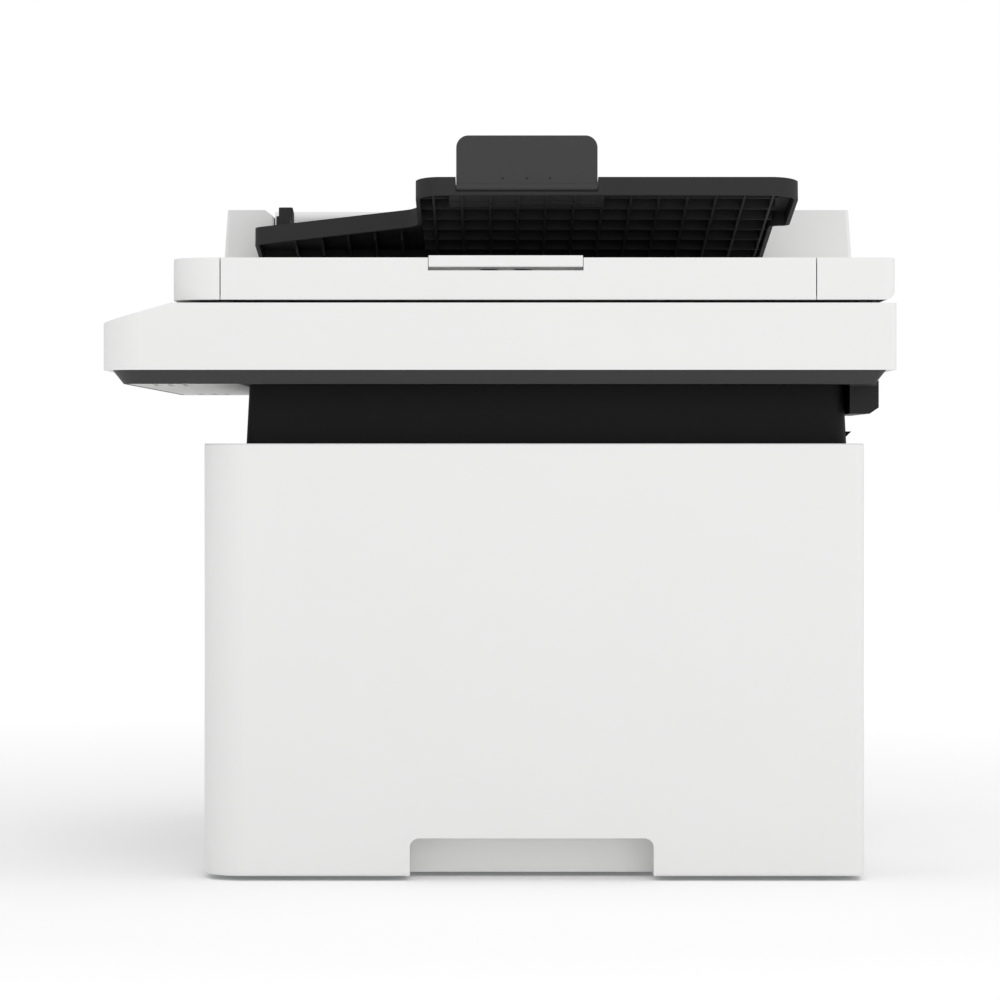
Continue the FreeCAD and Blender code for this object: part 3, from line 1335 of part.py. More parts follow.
def scan_parts():
    """Carriage rod and the scanning bar that slides on it."""
    ends = ("16 - scan_width/2", "scan_width/2 - 16")
    keep("carriage_rod", rod("carriage_rod", "X", ends, (0, "rod_z"), "rod"))
    bar = Casing("scan_carriage")
    x = ("strip_x - carriage_half", "strip_x + carriage_half")
    y = ("-glass_half - 7", "glass_half + 7")
    bar.add("XY", rect(x, y, 1), ("rod_z + 5", f"{PLATE_LOW} - glass - 0.5"))
    bar.add("XY", rect(x, (-10, 10), 1), ("rod_z - 5.5", "rod_z + 6"))
    bar.cut("YZ", Disc(0, "rod_z", "rod + slack"), (f"{x[0]} - 1", f"{x[1]} + 1"))
    bar.cut(
        "XY",
        rect(("strip_x - 3", "strip_x + 3"), shrunk(y, 6), 1),
        (f"{PLATE_LOW} - glass - 2", f"{PLATE_LOW} - glass"),
    )
    keep("scan_carriage", bar.body)


def on_slope(piece, label):
    """Moves a piece drawn flat (X across, Y up the slope, Z out of it) onto the control panel."""
    y, z = slope(0, 0)
    piece.put(y=y, z=z, axis=(1, 0, 0), angle="panel_tilt")
    keep(label, piece.body)


def panel_bezel():
    """Dark bezel with openings for the keys and the display."""
    bezel = Casing("panel_bezel")
    along = (BEZEL_FROM, f"{BEZEL_FROM} + bezel_wide")
    bezel.add("XY", rect(("-bezel_half", "bezel_half"), along, 4), ("-bezel", 0))
    holes = []
    for centre in SQUARE_KEYS.values():
        holes.append(
            rect(
                (f"{centre} - key/2 - gap", f"{centre} + key/2 + gap"),
                (f"{PANEL_MID} - key/2 - gap", f"{PANEL_MID} + key/2 + gap"),
                1.5,
            )
        )
    for centre in ROUND_KEYS.values():
        holes.append(Disc(centre, PANEL_MID, "disc_key + gap"))
    high = (f"{PANEL_MID} - screen_half", f"{PANEL_MID} + screen_half")
    holes.append(rect(("screen_left + 2", "screen_right - 2"), (f"{high[0]} + 2", f"{high[1]} - 2")))
    bezel.cut("XY", holes, ("-bezel - 1", 1))
    pocket = rect(shrunk(("screen_left", "screen_right"), "(-gap/2)"), shrunk(high, "(-gap/2)"), 1)
    bezel.cut("XY", pocket, ("-screen", 1))
    on_slope(bezel, "panel_bezel")
    screen = Casing("display_window")
    screen.add("XY", rect(("screen_left", "screen_right"), high, 1), ("-screen", 0))
    on_slope(screen, "display_window")


def panel_keys():
    """Keys of the control panel: each has a cap in the bezel and a flange behind it."""
    for label, centre in {**SQUARE_KEYS, **ROUND_KEYS}.items():
        cap = Casing(label)
        if label in SQUARE_KEYS:
            x, y = ((f"{mid} - key/2", f"{mid} + key/2") for mid in (centre, PANEL_MID))
            outline = rect(x, y, 1.2)
            flange = rect(shrunk(x, "(-1)"), shrunk(y, "(-1)"), 1.2)
        else:
            outline = [Disc(centre, PANEL_MID, "disc_key")]
            flange = [Disc(centre, PANEL_MID, "disc_key + 1")]
        back = "-bezel - gap"
        cap.add("XY", outline, (f"{back} - key_flange/2", "key_rise"))
        cap.add("XY", flange, (f"{back} - key_flange", back))
        on_slope(cap, label)


# --------------------------------------------------------------------------- lid
TRIM_REST = "lid_bottom + 2 + gap"


def lid_piece(label, y, corners, inner, back_wall="wall"):
    """One length of the lid: a shell that is open below and lets the base plate run through it."""
    piece = Casing(label)
    piece.add("XY", rect(("-lid_half", "lid_half"), y, corners), ("lid_bottom", "lid_top"))
    room = rect(("wall - lid_half", "lid_half - wall"), (f"{y[0]} + wall", f"{y[1]} - {back_wall}"), inner)
    piece.cut("XY", room, ("lid_bottom - 1", "lid_top - wall"))
    return piece


def lid_front_trim():
    """Front length of the lid."""
    y = ("lid_front", "seam_front - seam/2")
    corners = ["lid_corner", "lid_corner", 0, 0]
    inner = ["lid_corner - wall", "lid_corner - wall", 0, 0]
    trim = lid_piece("lid_front_trim", y, corners, inner)
    through = rect(("wall - lid_half", "lid_half - wall"), ("seam_front - 6", "seam_front + 1"))
    trim.cut("XY", through, ("lid_bottom - 1", TRIM_REST))
    trim.round("edge", lambda e: lies(e, z="lid_top") and not lies(e, y=y[1]) and rim_edge(e))
    keep("lid_front_trim", trim.body)


def rim_edge(edge):
    """True if an edge of the lid lies on its outer skin."""
    point = edge.CenterOfMass
    near = min(number("lid_half") - abs(point.x), point.y - number("lid_front"), number("lid_back") - point.y)
    return near < 8


def lid_rear_trim():
    """Rear length of the lid, rolled round the hinge line and slotted for the two hinges."""
    y = ("seam_back + seam/2", "lid_back")
    corners = [0, 0, "lid_rear_corner", "lid_rear_corner"]
    inner = [0, 0, "lid_rear_corner - wall", "lid_rear_corner - wall"]
    trim = lid_piece("lid_rear_trim", y, corners, inner, "lid_roll")
    through = rect(("wall - lid_half", "lid_half - wall"), ("seam_back - 1", "seam_back + 6"))
    trim.cut("XY", through, ("lid_bottom - 1", TRIM_REST))
    for low, high in sides("hinge_x - hinge_half - gap - wall", "hinge_x + hinge_half + gap + wall"):
        cheek = rect((low, high), ("lid_back - 17", "lid_back - wall/2"))
        trim.add("XY", cheek, ("lid_bottom", "lid_top - wall/2"))
    roll = [
        ("lid_back", "lid_bottom + lid_roll"),
        ("lid_back", "lid_bottom", "lid_roll - 0.01"),
        ("lid_back - lid_roll", "lid_bottom"),
        ("lid_back - lid_roll", "lid_bottom - 1"),
        ("lid_back + 1", "lid_bottom - 1"),
        ("lid_back + 1", "lid_bottom + lid_roll"),
    ]
    trim.cut("YZ", roll, ("-lid_half - 1", "lid_half + 1"))
    for low, high in sides("hinge_x - hinge_half - gap", "hinge_x + hinge_half + gap"):
        z = ("lid_bottom - 1", f"{LID_AXIS[1]} + barrel + 2*gap")
        trim.cut("YZ", rect((f"{POST_Y[0]} - gap - 0.5", "lid_back + 1"), z), (low, high))
        trim.add("YZ", Disc(*LID_AXIS, "pin_radius"), (f"{low} - 1", f"{high} + 1"))
    trim.round("edge", lambda e: lies(e, z="lid_top") and not lies(e, y=y[0]) and rim_edge(e))
    keep("lid_rear_trim", trim.body)


def lid_hinges():
    """Two lift-out hinges: a post in the scanner's socket and a barrel on the lid's pin."""
    pieces = []
    for i, (low, high) in enumerate(posts()):
        post = box(f"hinge_post_{i}", (low, high), POST_Y, ("scan_bottom + tub_floor + 2", LID_AXIS[1]))
        barrel = rod(f"hinge_barrel_{i}", "X", (f"{low} - 2", f"{high} + 2"), LID_AXIS, "barrel")
        bore = rod(f"hinge_bore_{i}", "X", (f"{low} - 3", f"{high} + 3"), LID_AXIS, "pin_radius + slack")
        pieces.append(cut(f"hinge_{i}", fuse(f"hinge_whole_{i}", [post, barrel]), [bore]))
    keep("lid_hinges", group("lid_hinges", pieces))


def lid_shell():
    """Middle length of the lid, with the stopper's recess and the window of the turning roller."""
    y = ("seam_front + seam/2", "seam_back - seam/2")
    shell = lid_piece("lid_shell", y, None, None)
    through = rect(("wall - lid_half", "lid_half - wall"), ("seam_front - 1", "seam_back + 1"))
    shell.cut("XY", through, ("lid_bottom - 1", TRIM_REST))
    bearings = ("stopper_front - gap - 4.5", "stopper_back + gap + 4.5")
    block = rect((f"{STOPPER_AXIS[0]} - 6", "lid_half - wall/2"), bearings)
    shell.add("XY", block, ("lid_top - stopper_deep - 2", "lid_top - wall/2"))
    pocket = rect((f"{STOPPER_AXIS[0]} - 4", "lid_half + 1"), ("stopper_front - gap", "stopper_back + gap"))
    shell.cut("XY", pocket, ("lid_top - stopper_deep", "lid_top + 1"))
    shell.cut(
        "XZ",
        Disc(*STOPPER_AXIS, "1.2 + slack"),
        ("stopper_front - 3.5", "stopper_back + 3.5"),
    )
    window = rect(("strip_x - 18", "strip_x + 18"), ("-sheet_half - 19", "sheet_half + 19"), 2)
    shell.cut("XY", window, ("lid_top - 2*wall", "lid_top + 1"))
    shell.round("edge", lambda e: lies(e, z="lid_top") and (lies(e, x="lid_half") or lies(e, x="-lid_half")))
    keep("lid_shell", shell.body)


def lid_underside():
    """Base plate of the lid and the white pad that presses the sheet on the glass."""
    plate = Casing("lid_base_plate")
    side = "lid_half - wall - gap"
    outline = rect(
        (f"-({side})", side),
        ("lid_front + wall + gap", "lid_back - 17 - gap"),
        ["lid_corner - wall - gap"] * 2 + [0, 0],
    )
    plate.add("XY", outline, ("lid_bottom", "lid_bottom + 2"))
    window = rect(("strip_x - 16", "strip_x + 16"), ("-sheet_half - 17", "sheet_half + 17"), 2)
    plate.cut("XY", window, ("lid_bottom - 1", "lid_bottom + 3"))
    keep("lid_base_plate", plate.body)
    pad = box(
        "platen_pad",
        ("glass_left + 2", "glass_right - 2"),
        ("2 - glass_half", "glass_half - 2"),
        ("lid_bottom - pad", "lid_bottom"),
    )
    keep("platen_pad", pad)


def output_stopper():
    """Flip-up stopper at the right edge of the lid."""
    stopper = Casing("output_stopper")
    x, z = STOPPER_AXIS
    profile = [
        (x, f"{z} - stopper_thick/2"),
        ("lid_half - 3.5", f"{z} - stopper_thick/2"),
        ("lid_half - 3.5", f"{z} - stopper_thick/2 - 2.1"),
        ("lid_half", f"{z} - stopper_thick/2 - 2.1", 0.8),
        ("lid_half", "lid_top + 1", 0.8),
        ("lid_half - 8", "lid_top + 1"),
        (x, f"{z} + stopper_thick/2"),
    ]
    stopper.add("XZ", profile, ("stopper_front", "stopper_back"))
    stopper.add("XZ", Disc(x, z, 2.1), ("stopper_front", "stopper_back"))
    stopper.add("XZ", Disc(x, z, 1.2), ("stopper_front - 3.2", "stopper_back + 3.2"))
    keep("output_stopper", stopper.body)


# --------------------------------------------------------------------------- document feeder
def adf_housing():
    """White casing of the document feeder: two end blocks on a floor, open between them."""
    case = Casing("adf_housing")
    profile = [
        ("feeder_front", "lid_top"),
        ("feeder_back", "lid_top"),
        ("feeder_back - feeder_draft", "feeder_top"),
        ("feeder_front + feeder_draft", "feeder_top"),
    ]
    case.add("YZ", profile, ("feeder_left", "feeder_right"))
    brow = [
        ("feeder_left - 1", "feeder_top + 1"),
        ("feeder_left - 1", "feeder_top - brow"),
        ("feeder_left", "feeder_top - brow"),
        ("feeder_left", "feeder_top", "brow - 0.01"),
        ("feeder_left + brow", "feeder_top"),
        ("feeder_left + brow", "feeder_top + 1"),
    ]
    case.cut("XZ", brow, ("feeder_front - 1", "feeder_back + 1"))
    case.cut(
        "YZ",
        rect(("mouth_front", "mouth_back"), ("lid_top + wall", "feeder_top + 1")),
        ("feeder_left - 1", "feeder_right + 1"),
    )
    for edge, way in (("mouth_front", -1), ("mouth_back", 1)):
        bevel = [
            (f"{edge} - ({way})*1", "feeder_top + 1"),
            (f"{edge} + ({way})*4.2", "feeder_top + 1"),
            (f"{edge} + ({way})*4.2", "feeder_top"),
            (edge, "feeder_top - 3"),
            (f"{edge} - ({way})*1", "feeder_top - 3"),
        ]
        case.cut("YZ", bevel, ("feeder_left - 1", "feeder_right + 1"))
    hollow = [
        ("feeder_left + wall", "lid_top - 1"),
        ("feeder_right - wall", "lid_top - 1"),
        ("feeder_right - wall", "feeder_top - wall"),
        ("feeder_left + wall", "feeder_top - wall", "brow - wall"),
    ]
    case.cut("XZ", hollow, ("feeder_front + feeder_draft + wall", "mouth_front - 5"))
    case.cut("XZ", hollow, ("mouth_back + 5", "feeder_back - feeder_draft - wall"))
    case.cut(
        "XY",
        rect(("strip_x - 16", "strip_x + 16"), ("-sheet_half - 11", "sheet_half + 11"), 2),
        ("lid_top - 1", "lid_top + 2*wall"),
    )
    for span in sides("sheet_half + 11", "sheet_half + 14"):
        hanger = rect(span, ("strip_x - 7", "strip_x + 7"))
        case.add(
            "XY", [tuple(reversed(c)) for c in hanger], ("turn_z - 6", "lid_top + wall/2")
        )
    bore = Disc("strip_x", "turn_z", "pick_shaft + slack")
    case.cut("XZ", bore, ("-sheet_half - 15", "sheet_half + 15"))
    low_wall = (f"{COVER_AXIS[1]} - cover_roll - 2*gap", "lid_top + wall/2")
    case.add(
        "XY",
        rect(("feeder_left", "feeder_left + wall"), ("mouth_front - 1", "mouth_back + 1")),
        low_wall[::-1],
    )
    case.cut("XZ", Disc(*COVER_AXIS, "pin_radius + slack"), ("mouth_front - 4", "mouth_back + 4"))
    case.round("2*edge", feeder_end)
    keep("adf_housing", case.body)


def feeder_end(edge):
    """True for the upright edges at the feeder's right end, outside its mouth."""
    point, near = edge.CenterOfMass, 2
    if abs(point.x - number("feeder_right")) > 0.02:
        return False
    return point.y < number("feeder_front") + near or point.y > number("feeder_back") - near


def adf_cover():
    """White cover over the feeder's rollers, hinged along its lower left edge."""
    cover = Casing("adf_cover")
    x, z = COVER_AXIS
    left, low, top = "feeder_left", "cover_low", "feeder_top"
    right = "feeder_right - 13"
    profile = [
        (left, low, "cover_roll"),
        (left, top, "brow"),
        (right, top, 5),
        (right, "lip_low"),
        (f"{right} - wall", "lip_low"),
        (f"{right} - wall", f"{top} - wall", 2.5),
        (f"{left} + wall", f"{top} - wall", "brow - wall"),
        (f"{left} + wall", f"{low} + wall", "cover_roll - wall"),
        (f"{x} + 0.4", f"{low} + wall"),
        (f"{x} + 0.4", low),
    ]
    span = ("mouth_front + 2*gap", "mouth_back - 2*gap")
    cover.add("XZ", profile, span)
    ear = rect((f"{left} + wall/2", f"{x} + 4"), (f"{z} - 4", f"{z} + 4"))
    for low_y, high_y in ((span[0], f"{span[0]} + ear_wall"), (f"{span[1]} - ear_wall", span[1])):
        cover.add("XZ", ear, (low_y, high_y))
    cover.add("XZ", Disc(x, z, "pin_radius"), (f"{span[0]} - 3", f"{span[0]} + 1"))
    cover.add("XZ", Disc(x, z, "pin_radius"), (f"{span[1]} - 1", f"{span[1]} + 3"))
    rib = rect((f"{left} + 20", f"{right} - 5"), (f"{top} - wall - 4", f"{top} - wall/2"))
    for y in (-70, -25, 25, 70):
        cover.add("XZ", rib, (y, y + 1.5))
    keep("adf_cover", cover.body)


SHELF_RIGHT = "tray_axis_x - 8"


def adf_chute():
    """Black chute inside the feeder: two side walls and the document shelf between them."""
    chute = Casing("adf_chute")
    left, right = "pick_x - 40", "feeder_right - 2"
    span = ("mouth_front + gap", "mouth_back - gap")
    wall_shape = [
        (left, "lid_top + wall + gap"),
        (right, "lid_top + wall + gap"),
        (right, "lip_low - 1", 3),
        ("feeder_right - 17", "lip_low - 1"),
        ("feeder_right - 17", "lip_low + 5", 2),
        (left, "lip_low + 5", 3),
    ]
    for low, high in ((span[0], f"{span[0]} + chute_wall"), (f"{span[1]} - chute_wall", span[1])):
        chute.add("XZ", wall_shape, (low, high))
    shelf = [
        (f"{left} + 4", "shelf_low"),
        (SHELF_RIGHT, "shelf_low"),
        (SHELF_RIGHT, "shelf_high", 2),
        (f"{left} + 10", "shelf_high", 3),
        (f"{left} + 4", "shelf_low + 2"),
    ]
    inside = (f"{span[0]} + chute_wall - 1", f"{span[1]} - chute_wall + 1")
    chute.add("XZ", shelf, inside)
    pad = rect(("pick_x - 8", "pick_x + 8"), (-14, 18), 1)
    chute.cut("XY", pad, ("shelf_high - 0.6", "shelf_high + 1"))
    pick = Disc("pick_x", "shelf_high + nip + pick_radius", "pick_shaft + slack")
    chute.cut("XZ", [pick], ("mouth_front - 1", "mouth_back + 1"))
    chute.cut("XZ", Disc("tray_axis_x", "tray_axis_z", "2.5 + slack"), ("mouth_front - 1", "mouth_back + 1"))
    keep("adf_chute", chute.body)


def feeder_rollers():
    """Pick roller over the shelf and the roller that turns the sheet over the scanning strip."""
    roller(
        "adf_pick_roller", "Y", ("mouth_front + 2*gap", "mouth_back - 2*gap"),
        ("pick_x", "shelf_high + nip + pick_radius"), "pick_shaft",
        [(-22, 26, "pick_radius"), (-80, -70, "pick_radius - 1"), (70, 80, "pick_radius - 1")],
    )
    roller(
        "adf_turn_roller", "Y", ("-sheet_half - 14.5", "sheet_half + 14.5"), ("strip_x", "turn_z"),
        "pick_shaft", [("-sheet_half - 2", "sheet_half + 2", "turn_radius")],
    )


# --------------------------------------------------------------------------- document tray
def on_tray(piece, label):
    """Moves a piece drawn flat round the tray's hinge axis to its sloping place."""
    piece.put(x="tray_axis_x", z="tray_axis_z", axis=(0, -1, 0), angle="tray_tilt")
    keep(label, piece.body)


POCKET_LOW = "flap_lift - 2.2 - gap"


def adf_tray():
    """Black document tray: a ribbed plate with a deep rim, on two arms in the feeder's mouth."""
    tray = Casing("adf_tray")
    outline = [
        ("tray_start", "tray_front", 3),
        ("tray_step", "tray_front", 6),
        ("tray_neck", "tray_mid", 14),
        ("tray_end", "tray_mid", 12),
        ("tray_end", "tray_back", 14),
        ("tray_neck", "tray_back", 4),
        ("tray_neck", "tray_back_in", 3),
        ("tray_start", "tray_back_in", 3),
    ]
    low = "tray_top - tray_deep"
    tray.add("XY", outline, (low, "tray_top"))
    base = tray.body.Tip
    face = next(
        f"Face{i + 1}" for i, f in enumerate(base.Shape.Faces)
        if abs(f.CenterOfMass.z - number(low)) < 0.01
    )
    shell = tray.body.newObject("PartDesign::Thickness", "tray_thickness")
    shell.Base = (base, [face])
    bind(shell, "Value", "tray_skin")
    shell.Reversed = True
    shell.Join = 1
    tray.body.Tip = shell
    doc.recompute()
    under = ("tray_top - tray_skin - rib_deep", "tray_top - tray_skin/2")
    long_rib = rect(("tray_start + 1", "tray_end - 1"), ("tray_mid + 8", "tray_mid + 8 + rib"))
    tray.repeat(tray.add("XY", long_rib, under), "Y", "12*rib_step", 13)
    first = "tray_start + 2*rib_step"
    cross_rib = rect((first, f"{first} + rib"), ("tray_mid + 2", "tray_back_in - 1"))
    tray.repeat(tray.add("XY", cross_rib, under), "X", "10*rib_step", 6)
    front_rib = rect(("tray_start + 1", "tray_step + 2"), ("tray_front + 20", "tray_front + 20 + rib"))
    tray.repeat(tray.add("XY", front_rib, under), "Y", "4*rib_step", 5)
    block = rect(("flap_axis - flap_high - 4", "tray_end - 1"), ("flap_front - 3.5", "flap_back + 3.5"))
    tray.add("XY", block, (low, "tray_top - tray_skin/2"))
    pocket = rect(("flap_axis - flap_high - 1", "tray_end + 1"), ("flap_front - gap", "flap_back + gap"))
    tray.cut("XY", pocket, (POCKET_LOW, "tray_top + 1"))
    tray.cut("XZ", Disc("flap_axis", "flap_lift", "1.2 + slack"), ("flap_front - 3", "flap_back + 3"))
    tongue = rect((-2, "tray_start + 1"), (-96, 116), [2, 0, 0, 2])
    tray.add("XY", tongue, ("tray_top - tray_skin", "tray_top"))
    inner = ("mouth_front + 2*gap + chute_wall", "mouth_back - 2*gap - chute_wall")
    arm = rect((-4.4, "tray_start + 1"), (-3.9, "tray_top - tray_skin/2"), [4, 0, 0, 0])
    for low_y, high_y in ((inner[0], f"{inner[0]} + 6"), (f"{inner[1]} - 6", inner[1])):
        tray.add("XZ", arm, (low_y, high_y))
    tray.add("XZ", Disc(0, 0, 2.5), (f"{inner[0]} - chute_wall", f"{inner[0]} + 1"))
    tray.add("XZ", Disc(0, 0, 2.5), (f"{inner[1]} - 1", f"{inner[1]} + chute_wall"))
    on_tray(tray, "adf_tray")


def tray_flap():
    """Flap at the tray's end, upright in use, that folds down into the tray."""
    flap = Casing("tray_flap")
    y = ("flap_front", "flap_back")
    half = "flap_thick/2"
    rounded = [0, 0, "flap_round", "flap_round"]
    flap.add("YZ", rect(y, (0, "flap_high"), rounded), (f"-{half}", half))
    flap.add("XZ", Disc(0, 0, 2.2), y)
    flap.add("XZ", Disc(0, 0, 1.2), ("flap_front - 2.8", "flap_back + 2.8"))
    flap.put(
        x="tray_axis_x + flap_axis*cos(tray_tilt) - flap_lift*sin(tray_tilt)",
        z="tray_axis_z + flap_axis*sin(tray_tilt) + flap_lift*cos(tray_tilt)",
    )
    keep("tray_flap", flap.body)


def document_guides():
    """Two guides that slide across the tray together."""
    for label, side in (("adf_guide_front", -1), ("adf_guide_rear", 1)):
        guide = Casing(label)
        near = f"guide_mid + ({side})*guide_half"
        far = f"{near} + ({side})*guide_wall"
        inward = f"{near} - ({side})*22"
        foot = "tray_top + gap"
        fence = (far, near) if side < 0 else (near, far)
        plate = (far, inward) if side < 0 else (inward, far)
        short, long = ("tray_start + 2", "tray_start + 22"), ("tray_start + 2", "tray_start + 46")
        guide.add("XY", rect(short, fence, 1.5), (foot, "tray_top + guide_high"))
        guide.add("XY", rect(long, fence, 1.5), (foot, "tray_top + guide_high*0.45"))
        guide.add("XY", rect(long, plate, 1.5), (foot, f"{foot} + 1.2"))
        on_tray(guide, label)


# --------------------------------------------------------------------------- make, test and write
MAKERS = [
    base_pan, rubber_feet, side_frames, side_cover, rear_cover, housing_screws, output_bin_cover,
    bin_stop, front_door, rear_door, paper_cassette, lift_plate, sheet_guides, engine_rollers,
    toner_cartridge, laser_unit, fuser_frame, drive_motor, circuit_boards, sockets, scanner_tub,
    panel_underside, scanner_top_frame, scanner_glass, scan_parts, panel_bezel, panel_keys,
    lid_front_trim, lid_rear_trim, lid_hinges, lid_shell, lid_underside, output_stopper,
    adf_housing, adf_cover, adf_chute, feeder_rollers, adf_tray, tray_flap, document_guides,
]
for make in MAKERS:
    make()
doc.recompute()

for item in doc.Objects:
    if {"Invalid", "Error"} & set(item.State):
        raise ValueError(f"{item.Name} did not recompute: {item.State}")
for label, item in FINISHED:
    if item.Shape.isNull() or not item.Shape.isValid() or not item.Shape.Solids:
        raise ValueError(f"{label} has no valid solid")

os.makedirs("parts", exist_ok=True)
for label, item in FINISHED:
    item.Shape.exportStep(f"parts/{label}.step")
print(f"{len(FINISHED)} sub-parts written")
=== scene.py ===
"""Finishes, small fittings and studio of a desktop photocopier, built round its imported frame.

X runs along the machine's width, Y from its front to its back and Z up, in metres. The origin is
on the floor under the middle of the machine. Places come from the frame's own boxes and joints.
A size whose name ends in _mm is in millimetres.
"""

import json
import logging
import math
from dataclasses import dataclass, field, replace
from enum import Enum
from functools import cached_property

import bmesh
import bpy
import numpy as np
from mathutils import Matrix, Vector


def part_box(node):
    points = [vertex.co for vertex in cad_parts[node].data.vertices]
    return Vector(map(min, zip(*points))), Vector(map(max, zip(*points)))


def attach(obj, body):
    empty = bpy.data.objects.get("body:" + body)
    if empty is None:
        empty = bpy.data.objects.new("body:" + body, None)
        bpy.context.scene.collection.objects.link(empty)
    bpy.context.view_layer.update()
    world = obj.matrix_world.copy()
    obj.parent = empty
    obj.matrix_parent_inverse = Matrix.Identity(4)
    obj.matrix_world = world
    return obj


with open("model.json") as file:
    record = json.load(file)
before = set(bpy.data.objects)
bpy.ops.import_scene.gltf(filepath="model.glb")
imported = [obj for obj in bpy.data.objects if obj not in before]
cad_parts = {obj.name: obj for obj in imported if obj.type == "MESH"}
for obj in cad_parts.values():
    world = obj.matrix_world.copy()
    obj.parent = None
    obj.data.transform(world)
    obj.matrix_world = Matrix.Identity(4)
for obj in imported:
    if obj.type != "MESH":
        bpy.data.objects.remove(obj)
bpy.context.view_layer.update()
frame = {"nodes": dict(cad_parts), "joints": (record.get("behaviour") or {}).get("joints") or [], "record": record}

LOG = logging.getLogger("photocopier")
MM = 0.001
# Thickness of a printed mark, and the rounding of its edge.
INK = 0.05 * MM
INK_EDGE = 0.02 * MM
# Across and up of a drawing that faces the front, the back or the right.
TO_FRONT = ((1, 0, 0), (0, 0, 1))
TO_BACK = ((-1, 0, 0), (0, 0, 1))
TO_RIGHT = ((0, 1, 0), (0, 0, 1))
Array = np.ndarray
Colour = tuple[float, float, float]


# ---- shader maths
class Field:
    """A value that varies over a surface. Its operators add Math nodes to the material."""

    def __init__(self, kit: "NodeKit", socket: bpy.types.NodeSocket) -> None:
        self.kit = kit
        self.socket = socket

    def combine(self, operation: str, *values: "Field | float", clamp: bool = False) -> "Field":
        """Adds a Math node.

        Args:
            operation: name of the Math node's operation.
            values: what its inputs take, in order.
            clamp: keeps the result between 0 and 1.

        Returns:
            The node's result.
        """
        settings = {"operation": operation, "use_clamp": clamp}
        return self.kit.add("ShaderNodeMath", settings, dict(enumerate(values)))

    def __add__(self, other: "Field | float") -> "Field":
        """Sum."""
        return self.combine("ADD", self, other)

    def __radd__(self, other: float) -> "Field":
        """Sum with a number on the left."""
        return self.combine("ADD", other, self)

    def __sub__(self, other: "Field | float") -> "Field":
        """Difference."""
        return self.combine("SUBTRACT", self, other)

    def __rsub__(self, other: float) -> "Field":
        """Difference from a number."""
        return self.combine("SUBTRACT", other, self)

    def __mul__(self, other: "Field | float") -> "Field":
        """Product."""
        return self.combine("MULTIPLY", self, other)

    def __rmul__(self, other: float) -> "Field":
        """Product with a number on the left."""
        return self.combine("MULTIPLY", other, self)

    def __gt__(self, edge: float) -> "Field":
        """1 where the value is above an edge and 0 elsewhere."""
        return self.combine("GREATER_THAN", self, edge)

    def fract(self) -> "Field":
        """What is left over a whole number."""
        return self.combine("FRACT", self)

    def distance(self, level: float) -> "Field":
        """Distance from a level, never negative."""
        return self.combine("ABSOLUTE", self - level)

    def rise(self, low: float, high: float) -> "Field":
        """0 below low, 1 above high and a straight slope between them."""
        return self.combine("MULTIPLY", self - low, 1 / (high - low), clamp=True)


